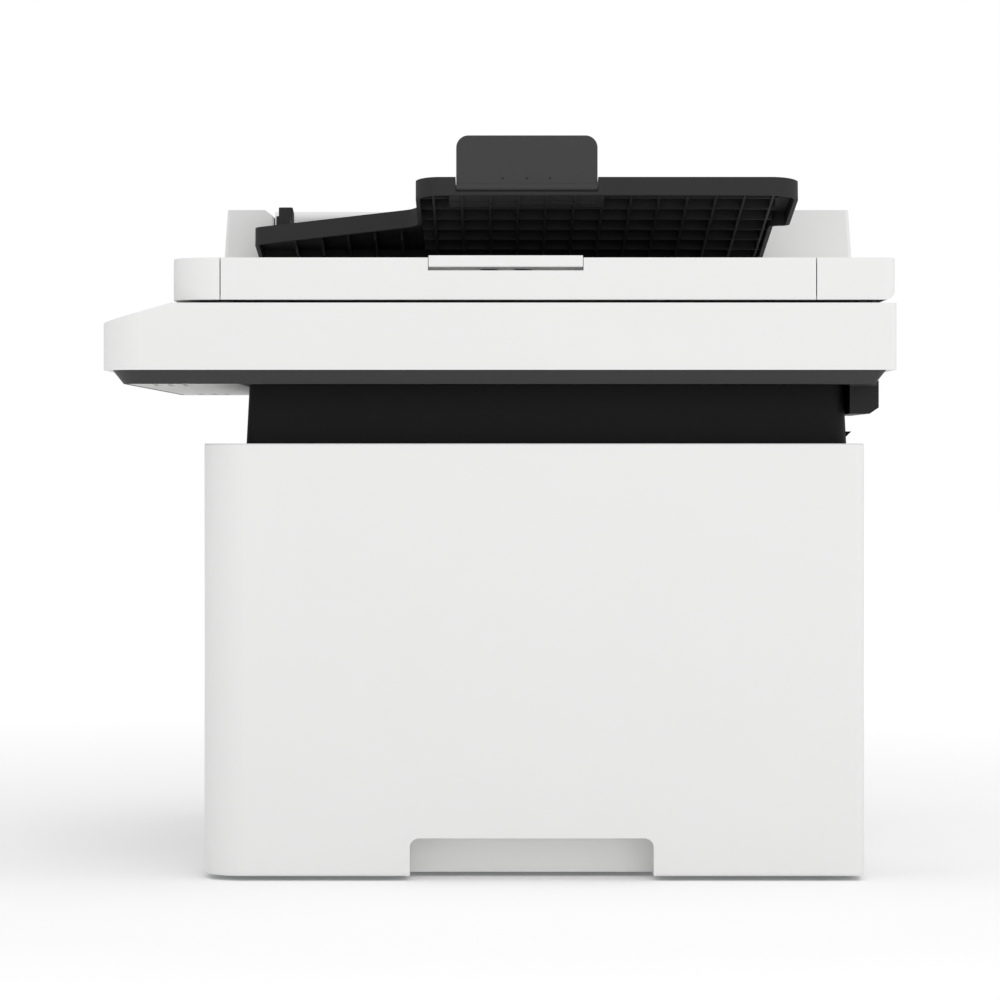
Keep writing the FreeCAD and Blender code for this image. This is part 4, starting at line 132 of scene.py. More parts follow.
class NodeKit:
    """Makes the nodes of one material, or of the world."""

    def __init__(self, owner: "bpy.types.Material | bpy.types.World") -> None:
        """Empties the node tree of its owner."""
        owner.use_nodes = True
        self.tree = owner.node_tree
        self.tree.nodes.clear()

    def add(
        self, kind: str, settings: dict, inputs: dict, result: "int | str | None" = 0
    ) -> Field:
        """Adds a node.

        Args:
            kind: the node's type.
            settings: its properties, such as an operation, set before its sockets.
            inputs: numbers, colours or fields for its sockets, by name or index.
            result: the output that is wanted.

        Returns:
            That output as a field, or the bare field of a node that has none.
        """
        node = self.tree.nodes.new(kind)
        for name, value in settings.items():
            setattr(node, name, value)
        for key, value in inputs.items():
            self.feed(node.inputs[key], value)
        return Field(self, node.outputs[result] if node.outputs else None)

    def feed(self, socket: bpy.types.NodeSocket, value: "Field | float | tuple") -> None:
        """Links a field to a socket, or sets the socket's own value.

        Args:
            socket: the input to feed.
            value: the field, number or colour that it takes.
        """
        if isinstance(value, Field):
            self.tree.links.new(value.socket, socket)
        else:
            socket.default_value = value

    def coat(self, **sockets: "Field | float | tuple") -> None:
        """Ends the tree in a shader.

        Args:
            sockets: what its inputs take, by their names in lower case with underscores.
        """
        inputs = {
            name.replace("_", " ").title().replace("Ior", "IOR"): value
            for name, value in sockets.items()
        }
        surface = self.add("ShaderNodeBsdfPrincipled", {}, inputs)
        self.add("ShaderNodeOutputMaterial", {}, {"Surface": surface}, None)

    @cached_property
    def place(self) -> Field:
        """Position in the frame, in metres."""
        return self.add("ShaderNodeTexCoord", {}, {}, "Object")

    def along(self, axis: str) -> Field:
        """One coordinate of the position."""
        return self.add("ShaderNodeSeparateXYZ", {}, {"Vector": self.place}, axis)

    def noise(self, size: float, detail: float, squeeze: "tuple | None" = None) -> Field:
        """Makes cloudy noise between 0 and 1.

        Args:
            size: about how wide its blobs are.
            detail: how many finer layers it has.
            squeeze: how many times narrower the blobs are along each axis.

        Returns:
            The noise.
        """
        inputs = {"Vector": self.place, "Scale": 1 / size, "Detail": detail}
        if squeeze:
            stretch = {"Vector": self.place, "Scale": squeeze}
            inputs["Vector"] = self.add("ShaderNodeMapping", {}, stretch)
        return self.add("ShaderNodeTexNoise", {}, inputs, "Fac")

    def cells(self, size: float) -> Field:
        """Distance from the seeds of random cells about as wide as size."""
        inputs = {"Vector": self.place, "Scale": 1 / size}
        return self.add("ShaderNodeTexVoronoi", {}, inputs, "Distance")

    def lots(self, size: float) -> Field:
        """Picks a random number for each random cell.

        Args:
            size: about how wide the cells are.

        Returns:
            The number, the same all over a cell.
        """
        inputs = {"Vector": self.place, "Scale": 1 / size}
        cells = self.add("ShaderNodeTexVoronoi", {}, inputs, "Color")
        return self.add("ShaderNodeSeparateXYZ", {}, {"Vector": cells}, "X")

    def blend(self, first: "Colour | Field", second: "Colour | Field", share: Field) -> Field:
        """Goes from one colour to another.

        Args:
            first: the colour where the share is 0.
            second: the colour where the share is 1.
            share: a field from 0 to 1.

        Returns:
            The mixed colour.
        """
        settings = {"data_type": "RGBA", "clamp_factor": True}
        ends = [c if isinstance(c, Field) else (*c, 1.0) for c in (first, second)]
        return self.add("ShaderNodeMix", settings, {0: share, 6: ends[0], 7: ends[1]}, 2)

    def relief(self, height: Field, depth: float) -> Field:
        """Surface normal of a height field between 0 and 1 that is as deep as depth."""
        inputs = {"Strength": 1.0, "Distance": depth, "Height": height}
        return self.add("ShaderNodeBump", {}, inputs)


def shade(colour: Colour, factor: float) -> Colour:
    """A colour made lighter or darker."""
    return tuple(min(1.0, part * factor) for part in colour)


# ---- finishes
@dataclass(frozen=True)
class Finish:
    """A finish of the machine, which becomes a node-based material."""

    colour: Colour

    def vary(self, kit: NodeKit, low: float, high: float, share: Field) -> Field:
        """The colour from low to high times its strength, as the share goes from 0 to 1."""
        return kit.blend(shade(self.colour, low), shade(self.colour, high), share)

    def dress(self, kit: NodeKit) -> None:
        """Adds the finish's own nodes, with the material's kit."""
        raise NotImplementedError

    def build(self, name: str) -> bpy.types.Material:
        """Makes the material.

        Args:
            name: what the material is called.

        Returns:
            The material with its nodes.
        """
        material = bpy.data.materials.new(name)
        self.dress(NodeKit(material))
        return material


@dataclass(frozen=True)
class MouldedPlastic(Finish):
    """Casing plastic with a fine eroded grain, faint flow mottling and a few rubbed places."""

    roughness: float = 0.5
    specular: float = 0.35
    grain: float = 0.7 * MM
    depth: float = 0.02 * MM
    mottle: float = 0.02

    def tone(self, kit: NodeKit, colour: Field) -> Field:
        """The colour, left as it is; a finish with painted shade below a level changes it here."""
        return colour

    def dress(self, kit: NodeKit) -> None:
        """Adds the nodes."""
        cloud = kit.noise(55 * MM, 3)
        grain = kit.noise(self.grain, 2)
        pits = kit.cells(self.grain * 1.6)
        rubbed = kit.noise(14 * MM, 4, (1, 1, 3)).rise(0.6, 0.8)
        colour = self.vary(kit, 1 - self.mottle, 1 + self.mottle, cloud * 0.6 + grain * 0.4)
        kit.coat(
            base_color=self.tone(kit, colour),
            roughness=self.roughness + (grain - 0.5) * 0.16 - rubbed * 0.05,
            specular_ior_level=self.specular,
            normal=kit.relief(grain * 0.6 + pits * 0.4, self.depth),
        )


@dataclass(frozen=True)
class PaintedShadeBelowPlastic(MouldedPlastic):
    """Casing plastic in a lit tone above a level and a darker tone under it: painted light and shade, as the bevel
    takes light from the floor and the duct below lies in shade.
    """

    # Colour of the painted shade under the level.
    lower: Colour = (0.008, 0.008, 0.009)
    level: float = 0.237

    def tone(self, kit: NodeKit, colour: Field) -> Field:
        """The darker colour of the painted shade under the level, and the lit one above it."""
        return kit.blend(self.lower, colour, kit.along("Z") > self.level)


@dataclass(frozen=True)
class PolishedPlastic(Finish):
    """Smooth plastic under a clear coat, with faint smears."""

    roughness: float = 0.18
    coat: float = 0.4

    def dress(self, kit: NodeKit) -> None:
        """Adds the nodes."""
        smears = kit.noise(18 * MM, 5, (1, 3, 3))
        dust = kit.noise(0.5 * MM, 1).rise(0.68, 0.8)
        kit.coat(
            base_color=self.vary(kit, 1, 1.25, smears),
            roughness=self.roughness + smears * 0.1 + dust * 0.2,
            coat_weight=self.coat,
            coat_roughness=0.05,
            normal=kit.relief(smears, 0.01 * MM),
        )


@dataclass(frozen=True)
class Rubber(Finish):
    """Ground rubber with a fine tooth and lighter, polished patches."""

    tooth: float = 0.45 * MM

    def dress(self, kit: NodeKit) -> None:
        """Adds the nodes."""
        tooth = kit.noise(self.tooth, 3)
        worn = kit.noise(9 * MM, 3).rise(0.5, 0.75)
        kit.coat(
            base_color=self.vary(kit, 1, 1.7, worn),
            roughness=0.86 - worn * 0.16 - tooth * 0.08,
            specular_ior_level=0.25,
            normal=kit.relief(tooth, 0.06 * MM),
        )


@dataclass(frozen=True)
class Steel(Finish):
    """Machined or rolled steel with drawn streaks along one axis."""

    stretch: tuple = (0.02, 1, 1)
    roughness: float = 0.26

    def dress(self, kit: NodeKit) -> None:
        """Adds the nodes."""
        streaks = kit.noise(0.5 * MM, 3, self.stretch)
        haze = kit.noise(25 * MM, 2)
        kit.coat(
            base_color=self.vary(kit, 0.8, 1.15, streaks),
            metallic=1.0,
            roughness=self.roughness + streaks * 0.14 + haze * 0.08,
            normal=kit.relief(streaks, 0.01 * MM),
        )


@dataclass(frozen=True)
class ZincSheet(Finish):
    """Zinc-plated sheet steel with a spangle of crystals."""

    crystal: float = 5 * MM

    def dress(self, kit: NodeKit) -> None:
        """Adds the nodes."""
        crystals = kit.lots(self.crystal)
        haze = kit.noise(1.2 * MM, 4)
        kit.coat(
            base_color=self.vary(kit, 0.75, 1.2, crystals * 0.6 + haze * 0.4),
            metallic=1.0,
            roughness=0.3 + crystals * 0.18 + haze * 0.08,
            normal=kit.relief(haze, 0.01 * MM),
        )


@dataclass(frozen=True)
class CoatedDrum(Finish):
    """Light-sensitive coating on an aluminium tube: deep, glossy and faintly banded."""

    def dress(self, kit: NodeKit) -> None:
        """Adds the nodes."""
        bands = kit.noise(3 * MM, 3, (1, 0.02, 0.02))
        kit.coat(
            base_color=self.vary(kit, 0.85, 1.15, bands),
            metallic=0.35,
            roughness=0.1 + bands * 0.06,
            coat_weight=0.7,
            coat_roughness=0.03,
        )


@dataclass(frozen=True)
class CircuitBoard(Finish):
    """Green board with copper tracks, and dark and bare-metal parts that stand off its plate."""

    axis: str = "X"
    level: float = 0.0
    plate: float = 1.3 * MM
    tracks_per_metre: float = 420
    track_edge: float = 0.62

    def dress(self, kit: NodeKit) -> None:
        """Adds the nodes."""
        across, down = (kit.along(a) for a in "XYZ" if a != self.axis)
        stretches = kit.noise(11 * MM, 1)
        upright, level = (
            (way * self.tracks_per_metre).fract() > self.track_edge for way in (across, down)
        )
        tracks = upright * (stretches > 0.5) + level * (0.5 - stretches > 0)
        pads = kit.cells(3.6 * MM)
        solder = 1 - pads.rise(0.12, 0.16)
        board = self.vary(kit, 1, 2.2, tracks)
        board = kit.blend(board, (0.62, 0.60, 0.55), solder)
        stands = kit.along(self.axis).distance(self.level) > self.plate
        parts = kit.blend((0.03, 0.03, 0.035), (0.42, 0.43, 0.45), kit.lots(14 * MM))
        kit.coat(
            base_color=kit.blend(board, parts, stands),
            roughness=0.3 + solder * 0.15 + stands * 0.2,
            normal=kit.relief(tracks * 0.5 + solder * 0.5, 0.04 * MM),
        )


@dataclass(frozen=True)
class FloatGlass(Finish):
    """Clear float glass with a green body and a few smears."""

    def dress(self, kit: NodeKit) -> None:
        """Adds the nodes."""
        smears = kit.noise(22 * MM, 5)
        kit.coat(
            base_color=self.vary(kit, 1, 0.94, smears),
            roughness=0.01 + smears.rise(0.5, 0.9) * 0.06,
            transmission_weight=0.92,
            ior=1.5,
        )


@dataclass(frozen=True)
class LiquidCrystal(Finish):
    """Unlit display behind a hard window: a faint cell grid over a dark green-grey."""

    cell: float = 1.1 * MM

    def dress(self, kit: NodeKit) -> None:
        """Adds the nodes."""
        lines = [(kit.along(a) * (1 / self.cell)).fract() > 0.86 for a in "XY"]
        grid = lines[0].combine("MAXIMUM", *lines)
        glow = kit.noise(30 * MM, 1)
        panel = self.vary(kit, 0.8, 1.3, glow)
        kit.coat(
            base_color=kit.blend(panel, shade(self.colour, 0.55), grid * 0.6),
            roughness=0.16 + glow * 0.08,
            coat_weight=1.0,
            coat_roughness=0.03,
        )


@dataclass(frozen=True)
class FoamFilm(Finish):
    """Soft white pad under a smooth film that shows the foam's pebbles."""

    def dress(self, kit: NodeKit) -> None:
        """Adds the nodes."""
        pebbles = kit.cells(2.2 * MM)
        soil = kit.noise(60 * MM, 4)
        kit.coat(
            base_color=self.vary(kit, 1, 0.93, soil),
            roughness=0.42 + pebbles * 0.12,
            normal=kit.relief(pebbles, 0.08 * MM),
        )


@dataclass(frozen=True)
class PrintedInk(Finish):
    """Pad-printed ink with a dry, slightly broken edge."""

    def dress(self, kit: NodeKit) -> None:
        """Adds the nodes."""
        broken = kit.noise(0.3 * MM, 3)
        kit.coat(
            base_color=self.vary(kit, 0.85, 1, broken),
            roughness=0.5 + broken * 0.2,
            normal=kit.relief(broken, 0.01 * MM),
        )


@dataclass(frozen=True)
class LampLens(Finish):
    """Clear coloured lens with a soft light behind it."""

    strength: float = 0.5

    def dress(self, kit: NodeKit) -> None:
        """Adds the nodes."""
        cloud = kit.noise(1.5 * MM, 2)
        lit = self.vary(kit, 0.7, 1, cloud)
        kit.coat(
            base_color=lit,
            roughness=0.15 + cloud * 0.1,
            emission_color=lit,
            emission_strength=self.strength,
            coat_weight=0.8,
        )


@dataclass(frozen=True)
class PaintedFloor(Finish):
    """Plain pale studio floor with a glow of its own: painted light that keeps the far floor as white as the
    backdrop, weaker near the machine as painted shade round it.
    """

    colour: Colour = (0.93, 0.93, 0.93)
    glow: float = 0.40
    painted_shade_glow_share: float = 0.25
    near: float = 0.5
    far: float = 2.0

    def dress(self, kit: NodeKit) -> None:
        """Adds the nodes. The painted glow grows with the distance from the machine, so the floor near it gets
        painted shade.
        """
        cloud = kit.noise(1.4, 2)
        away = kit.add("ShaderNodeVectorMath", {"operation": "LENGTH"}, {0: kit.place}, "Value")
        white = (1.0, 1.0, 1.0)
        painted_shade_glow_colour = shade(white, self.painted_shade_glow_share)
        kit.coat(
            base_color=self.vary(kit, 0.985, 1, cloud),
            roughness=0.75 + cloud * 0.1,
            specular_ior_level=0.1,
            # Painted light and shade: the glow is weaker near the machine.
            emission_color=kit.blend(painted_shade_glow_colour, white, away.rise(self.near, self.far)),
            emission_strength=self.glow,
        )


@dataclass
class Paintbox:
    """Every finish, by the record's slot or by a name of its own, made when first used.

    An upright board's plate lies a fixed depth inside its outer face, and a flat board's a fixed
    height over its lowest point.
    """

    finishes: dict = field(default_factory=lambda: {
        "white_casing": MouldedPlastic((0.80, 0.80, 0.795), 0.48, 0.35),
        "black_casing": MouldedPlastic(
            (0.026, 0.026, 0.027), 0.6, 0.18, 0.8 * MM, 0.03 * MM, 0.12
        ),
        # Black of the output bin's neck: the black casing about four times darker, its own black plus painted
        # shade under the scanner.
        "neck_black_painted_shade": MouldedPlastic(
            (0.0065, 0.0065, 0.007), 0.62, 0.14, 0.8 * MM, 0.03 * MM, 0.12
        ),
        # Scanner tub: a lit tone above the level and a darker one under it, which is painted light and shade.
        "dark_grey_casing": PaintedShadeBelowPlastic(
            (0.040, 0.040, 0.041), 0.5, 0.25, mottle=0.06
        ),
        # White plastic made light grey: painted shade, as under the control panel.
        "light_grey_casing": MouldedPlastic((0.62, 0.62, 0.61), 0.52, 0.3),
        "black_fittings": MouldedPlastic(
            (0.022, 0.022, 0.024), 0.45, 0.35, 0.9 * MM, mottle=0.1
        ),
        "smoke_grey": MouldedPlastic((0.044, 0.044, 0.045), 0.5, 0.2, mottle=0.06),
        "key_grey": MouldedPlastic((0.35, 0.36, 0.37), 0.4, 0.4, 0.4 * MM, 0.01 * MM),
        "black_gloss": PolishedPlastic((0.012, 0.012, 0.014)),
        "key_green": PolishedPlastic((0.05, 0.42, 0.16), 0.3, 0.3),
        "key_red": PolishedPlastic((0.55, 0.08, 0.05), 0.3, 0.3),
        "display": LiquidCrystal((0.10, 0.13, 0.14)),
        "white_pad": FoamFilm((0.86, 0.86, 0.85)),
        "zinc_steel": ZincSheet((0.55, 0.56, 0.57)),
        "steel": Steel((0.50, 0.50, 0.51)),
        "rubber": Rubber((0.03, 0.03, 0.03)),
        "roller_rubber": Rubber((0.06, 0.06, 0.065), 0.35 * MM),
        "drum_coating": CoatedDrum((0.10, 0.34, 0.42)),
        "circuit_board": CircuitBoard((0.03, 0.16, 0.07)),
        "glass": FloatGlass((0.82, 0.92, 0.89)),
        "white_ink": PrintedInk((0.86, 0.86, 0.85)),
        "grey_ink": PrintedInk((0.40, 0.41, 0.42)),
        "dark_ink": PrintedInk((0.05, 0.05, 0.055)),
        "segment_ink": PrintedInk((0.55, 0.66, 0.60)),
        "cork": Rubber((0.24, 0.13, 0.07), 0.8 * MM),
        "gold_contact": Steel((0.78, 0.56, 0.22), (1, 1, 1), 0.2),
        "tin_shell": Steel((0.62, 0.62, 0.60), (1, 1, 1), 0.24),
        "green_lamp": LampLens((0.10, 0.80, 0.25), 1.2),
        "amber_lamp": LampLens((0.55, 0.26, 0.05), 0.15),
        "cold_lamp": LampLens((0.75, 0.85, 0.90), 0.25),
        "floor_paint": PaintedFloor(),
    })
    # The output bin cover takes the darker black with painted shade instead of its slot's finish.
    special: dict = field(default_factory=lambda: {"output_bin_cover": "neck_black_painted_shade"})
    upright_plate: float = 3.8 * MM
    flat_plate: float = 6.8 * MM
    made: dict = field(default_factory=dict)

    def get(self, name: str) -> bpy.types.Material:
        """Looks a material up, and makes it if it is new.

        Args:
            name: the finish's name.

        Returns:
            The finish's material.
        """
        if name not in self.made:
            self.made[name] = self.finishes[name].build(name)
        return self.made[name]

    def paint_frame(self) -> None:
        """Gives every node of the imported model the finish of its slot."""
        slots = {s["node"]: s["material_slot"] for s in frame["record"]["subparts"]}
        for name, item in frame["nodes"].items():
            item.data.materials.clear()
            finish = self.special.get(name, slots[name])
            board = finish == "circuit_board"
            item.data.materials.append(self.board(name) if board else self.get(finish))
            LOG.info("painted %s with %s", name, finish)

    def board(self, node: str) -> bpy.types.Material:
        """Makes a circuit board's finish, set to the plane that its plate lies in.

        Args:
            node: the board's node.

        Returns:
            The board's own material.
        """
        if node not in self.made:
            low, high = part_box(node)
            if high.z - low.z > high.x - low.x:
                plane = {"axis": "X", "level": high.x - self.upright_plate}
            else:
                plane = {"axis": "Z", "level": low.z + self.flat_plate}
            finish = replace(self.finishes["circuit_board"], **plane)
            self.made[node] = finish.build(node)
        return self.made[node]


PAINT = Paintbox()


# ---- surfaces
@dataclass(frozen=True)
class Shell:
    """A closed surface: points, and groups of faces with equal numbers of corners."""

    points: Array
    groups: tuple[Array, ...]

    def placed(self, axes: "Axes") -> "Shell":
        """The surface carried from its own drawing into the frame."""
        return Shell(axes.carry(self.points), self.groups)

    def repeated(self, offsets: Array) -> "Shell":
        """Copies the surface: every point plus every offset.

        Args:
            offsets: how far each copy is moved, of shape (copies, 3).

        Returns:
            All the copies as one surface.
        """
        points = (self.points[None] + np.asarray(offsets, float)[:, None]).reshape(-1, 3)
        starts = np.arange(len(offsets)) * len(self.points)
        groups = tuple(
            (group[None] + starts[:, None, None]).reshape(-1, group.shape[1])
            for group in self.groups
        )
        return Shell(points, groups)

    def joined(self, *others: "Shell") -> "Shell":
        """Puts surfaces together.

        Args:
            others: the surfaces to add to this one.

        Returns:
            All of them as one surface.
        """
        shells = (self, *others)
        starts = np.cumsum([0] + [len(s.points) for s in shells[:-1]])
        groups = tuple(g + start for s, start in zip(shells, starts) for g in s.groups)
        return Shell(np.concatenate([s.points for s in shells]), groups)


@dataclass(frozen=True)
class Axes:
    """Axes that a shape is drawn in: across, up and, square to both, out."""

    origin: tuple
    across: tuple = (1, 0, 0)
    up: tuple = (0, 1, 0)

    def carry(self, points: Array) -> Array:
        """Points of the drawing in the frame: the origin plus each coordinate times its axis."""
        basis = np.array([self.across, self.up, np.cross(self.across, self.up)], float)
        return np.asarray(self.origin, float) + points @ basis


def loft(rings: Array, wrap: bool = False) -> Shell:
    """Closed surface through a row of rings.

    Args:
        rings: points of shape (rings, points in a ring, 3), each ring closed on itself.
        wrap: joins the last ring to the first; without it both ends get a flat cap.

    Returns:
        The surface, with a four-cornered face between each two neighbours of each two rings.
    """
    count, around = rings.shape[:2]
    index = np.arange(count * around).reshape(count, around)
    low = index if wrap else index[:-1]
    high = np.roll(index, -1, 0) if wrap else index[1:]
    quads = np.stack([low, np.roll(low, -1, 1), np.roll(high, -1, 1), high], -1).reshape(-1, 4)
    caps = () if wrap else (index[:1, ::-1], index[-1:])
    return Shell(rings.reshape(-1, 3), (quads, *caps))


def soft_polygon(
    corners: int, radius: float, softness: float, turn: float = 0.0, count: int = 36
) -> Array:
    """Outline of a regular polygon with softened corners.

    At angle t from a corner the polygon lies cos(pi/n) / cos((t mod 2pi/n) - pi/n) radii from its
    middle. The softness draws that towards the circle that touches the sides.

    Args:
        corners: how many corners.
        radius: middle to corner.
        softness: 0 keeps the corners sharp, 1 gives the inner circle.
        turn: angle that the outline is turned by.
        count: points on the outline.

    Returns:
        Points of shape (count, 2), anticlockwise.
    """
    angle = np.linspace(0, 2 * np.pi, count, endpoint=False)
    inner = math.cos(math.pi / corners)
    reach = inner / np.cos(angle % (2 * np.pi / corners) - np.pi / corners)
    reach = radius * (reach + (inner - reach) * softness)
    return np.stack([reach * np.cos(angle + turn), reach * np.sin(angle + turn)], 1)


def soft_box(half_width: float, half_height: float, power: float, count: int = 32) -> Array:
    """Outline where |x/a|^p + |y/b|^p = 1.

    Args:
        half_width: a, the reach to the side.
        half_height: b, the reach up.
        power: p, which gives an ellipse at 2 and nearly a rectangle at 8.
        count: points on the outline.

    Returns:
        Points of shape (count, 2), anticlockwise.
    """
    angle = np.linspace(0, 2 * np.pi, count, endpoint=False) + np.pi / count
    cos, sin = np.cos(angle), np.sin(angle)
    reach = (np.abs(cos) ** power + np.abs(sin) ** power) ** (-1 / power)
    return np.stack([half_width * reach * cos, half_height * reach * sin], 1)


def plaque(outline: Array, thickness: float, edge: float) -> Shell:
    """Flat plate with a rounded upper edge.

    The outline stands from height 0, and over its last stretch it follows a quarter circle: its
    height is thickness - edge + edge * sin(a) while it shrinks towards the middle by
    edge * (1 - cos(a)).

    Args:
        outline: points of shape (count, 2) round the origin.
        thickness: height of the plate.
        edge: radius of the rounding.

    Returns:
        The plate, with its underside at height 0.
    """
    turn = np.linspace(0, np.pi / 2, 4)
    heights = np.concatenate([[0], thickness - edge + edge * np.sin(turn)])
    reach = np.abs(outline).max()
    shrink = np.concatenate([[1], 1 - edge * (1 - np.cos(turn)) / reach])
    flat = outline[None] * shrink[:, None, None]
    level = np.broadcast_to(heights[:, None, None], (*flat.shape[:2], 1))
    return loft(np.concatenate([flat, level], 2))


def printed(half_width: float, half_height: float) -> Shell:
    """Printed mark: a plate as thick as a coat of ink, with a nearly rectangular outline."""
    return plaque(soft_box(half_width, half_height, 8, 12), INK, INK_EDGE)


def frame_ring(outer: Array, inner: Array, depth: float) -> Shell:
    """Open ring: a four-sided section that runs round between two outlines.

    Args:
        outer: points of the outer outline, of shape (count, 2).
        inner: as many points of the inner one.
        depth: height of the ring.

    Returns:
        The ring, from height 0 up.
    """
    levels = np.array([0, 0, depth, depth])
    flat = np.stack([inner, outer, outer, inner], 1)
    level = np.broadcast_to(levels[None, :, None], (len(outer), 4, 1))
    return loft(np.concatenate([flat, level], 2), wrap=True)


def rib(
    path: Array, half_width: float, half_height: float, side: tuple, taper: float = 8.0
) -> Shell:
    """Rounded rib along a path, drawn in at both ends.

    The section is |x/a|^3 + |y/b|^3 = 1, and its size at a share u of the path is
    (1 - |2u - 1|^k)^(1/k).

    Args:
        path: points of shape (count, 3) along the middle of the rib.
        half_width: reach to the side.
        half_height: reach square to the side and to the path.
        side: direction of the width.
        taper: the power k; larger keeps the ends blunter.

    Returns:
        The rib.
    """
    share = np.linspace(0, 1, len(path))
    size = np.maximum(1 - np.abs(2 * share - 1) ** taper, 0.02) ** (1 / taper)
    section = soft_box(half_width, half_height, 3.0, 16)
    side = np.asarray(side, float)
    run = np.gradient(path, axis=0)
    run /= np.linalg.norm(run, axis=1, keepdims=True)
    lift = np.cross(run, side)
    wide = section[:, 0][None, :, None] * side[None, None]
    high = section[:, 1][None, :, None] * lift[:, None]
    return loft(path[:, None] + size[:, None, None] * (wide + high))


def lathe(
    stations: Array, radii: Array, count: int, lobes: int = 0, lobe: float = 0.0
) -> Shell:
    """Surface of revolution about the third axis.

    At angle t the radius is the station's own plus lobe * cos(lobes * t), which gives a fluted rim.

    Args:
        stations: heights along the axis.
        radii: radius at each station.
        count: points round the axis.
        lobes: flutes round the rim.
        lobe: depth of the flutes.

    Returns:
        The surface.
    """
    angle = np.linspace(0, 2 * np.pi, count, endpoint=False)
    flute = lobe * np.cos(lobes * angle)
    reach = np.maximum(np.asarray(radii, float)[:, None] + flute[None], 0.02 * MM)
    height = np.broadcast_to(np.asarray(stations, float)[:, None], reach.shape)
    return loft(np.stack([reach * np.cos(angle), reach * np.sin(angle), height], 2))


def line(start: tuple, end: tuple, count: int = 13) -> Array:
    """Points on a straight line, closer together at both ends: their share is (1 - cos(a)) / 2."""
    share = (1 - np.cos(np.linspace(0, np.pi, count))) / 2
    return np.asarray(start, float) + share[:, None] * np.subtract(end, start)


def make_mesh(name: str, shell: Shell, finish: str) -> bpy.types.Object:
    """Puts a surface into the scene.

    Args:
        name: what it is called.
        shell: the surface.
        finish: name of its finish.

    Returns:
        The object, with its faces as the surface lists them.
    """
    mesh = bpy.data.meshes.new(name)
    faces = [face for group in shell.groups for face in group.tolist()]
    mesh.from_pydata(shell.points.tolist(), [], faces)
    mesh.materials.append(PAINT.get(finish))
    made = bpy.data.objects.new(name, mesh)
    bpy.context.scene.collection.objects.link(made)
    return made


def fit(name: str, shell: Shell, finish: str, body: str, sharp: float = 40.0) -> None:
    """Makes a piece from a surface and hangs it on a body.

    Args:
        name: the piece's name.
        shell: its surface.
        finish: name of its finish.
        body: the body that carries it.
        sharp: edges that turn by more than this many degrees stay sharp.
    """
    piece = make_mesh(name, shell, finish)
    mesh = piece.data
    work = bmesh.new()
    work.from_mesh(mesh)
    bmesh.ops.recalc_face_normals(work, faces=work.faces)
    work.to_mesh(mesh)
    work.free()
    mesh.polygons.foreach_set("use_smooth", [True] * len(mesh.polygons))
    mesh.set_sharp_from_angle(angle=math.radians(sharp))
    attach(piece, body)
    LOG.info("made %s on %s: %d faces", name, body, len(mesh.polygons))


def joint(name: str) -> dict:
    """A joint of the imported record."""
    return next(j for j in frame["joints"] if j["name"] == name)


def face_axes(node: str, across: tuple, up: tuple) -> Axes:
    """Axes at the middle of a node's outermost flat face.

    Args:
        node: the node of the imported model.
        across: direction of the first axis.
        up: direction of the second axis; the face looks along the cross product of both.

    Returns:
        The axes: the origin is halfway between the extremes of the points that lie within the
        tolerance of the furthest one.
    """
    tolerance = 0.02 * MM
    mesh = frame["nodes"][node].data
    points = np.empty(len(mesh.vertices) * 3, np.float32)
    mesh.vertices.foreach_get("co", points)
    basis = np.array([across, up, np.cross(across, up)], float)
    spots = points.reshape(-1, 3).astype(float) @ basis.T
    face = spots[spots[:, 2] > spots[:, 2].max() - tolerance]
    return Axes(tuple((face.min(0) + face.max(0)) / 2 @ basis), across, up)


# ---- control panel
class Mark(Enum):
    """Signs printed on the keys: the key, and the outline's corners, radius in mm and turn."""

    START = ("key_start", 4, 2.9, 0.0)
    STOP = ("key_stop", 4, 2.6, math.pi / 4)
    LEFT = ("key_left", 3, 2.5, math.pi)
    RIGHT = ("key_right", 3, 2.5, 0.0)
    ENTER = ("key_ok", 24, 1.7, 0.0)


class Lamp(Enum):
    """Indicator lamps beside the power button: place along the panel in mm, and finish."""

    READY = (-142, "green_lamp")
    PAPER = (-134, "amber_lamp")
    TONER = (-126, "amber_lamp")


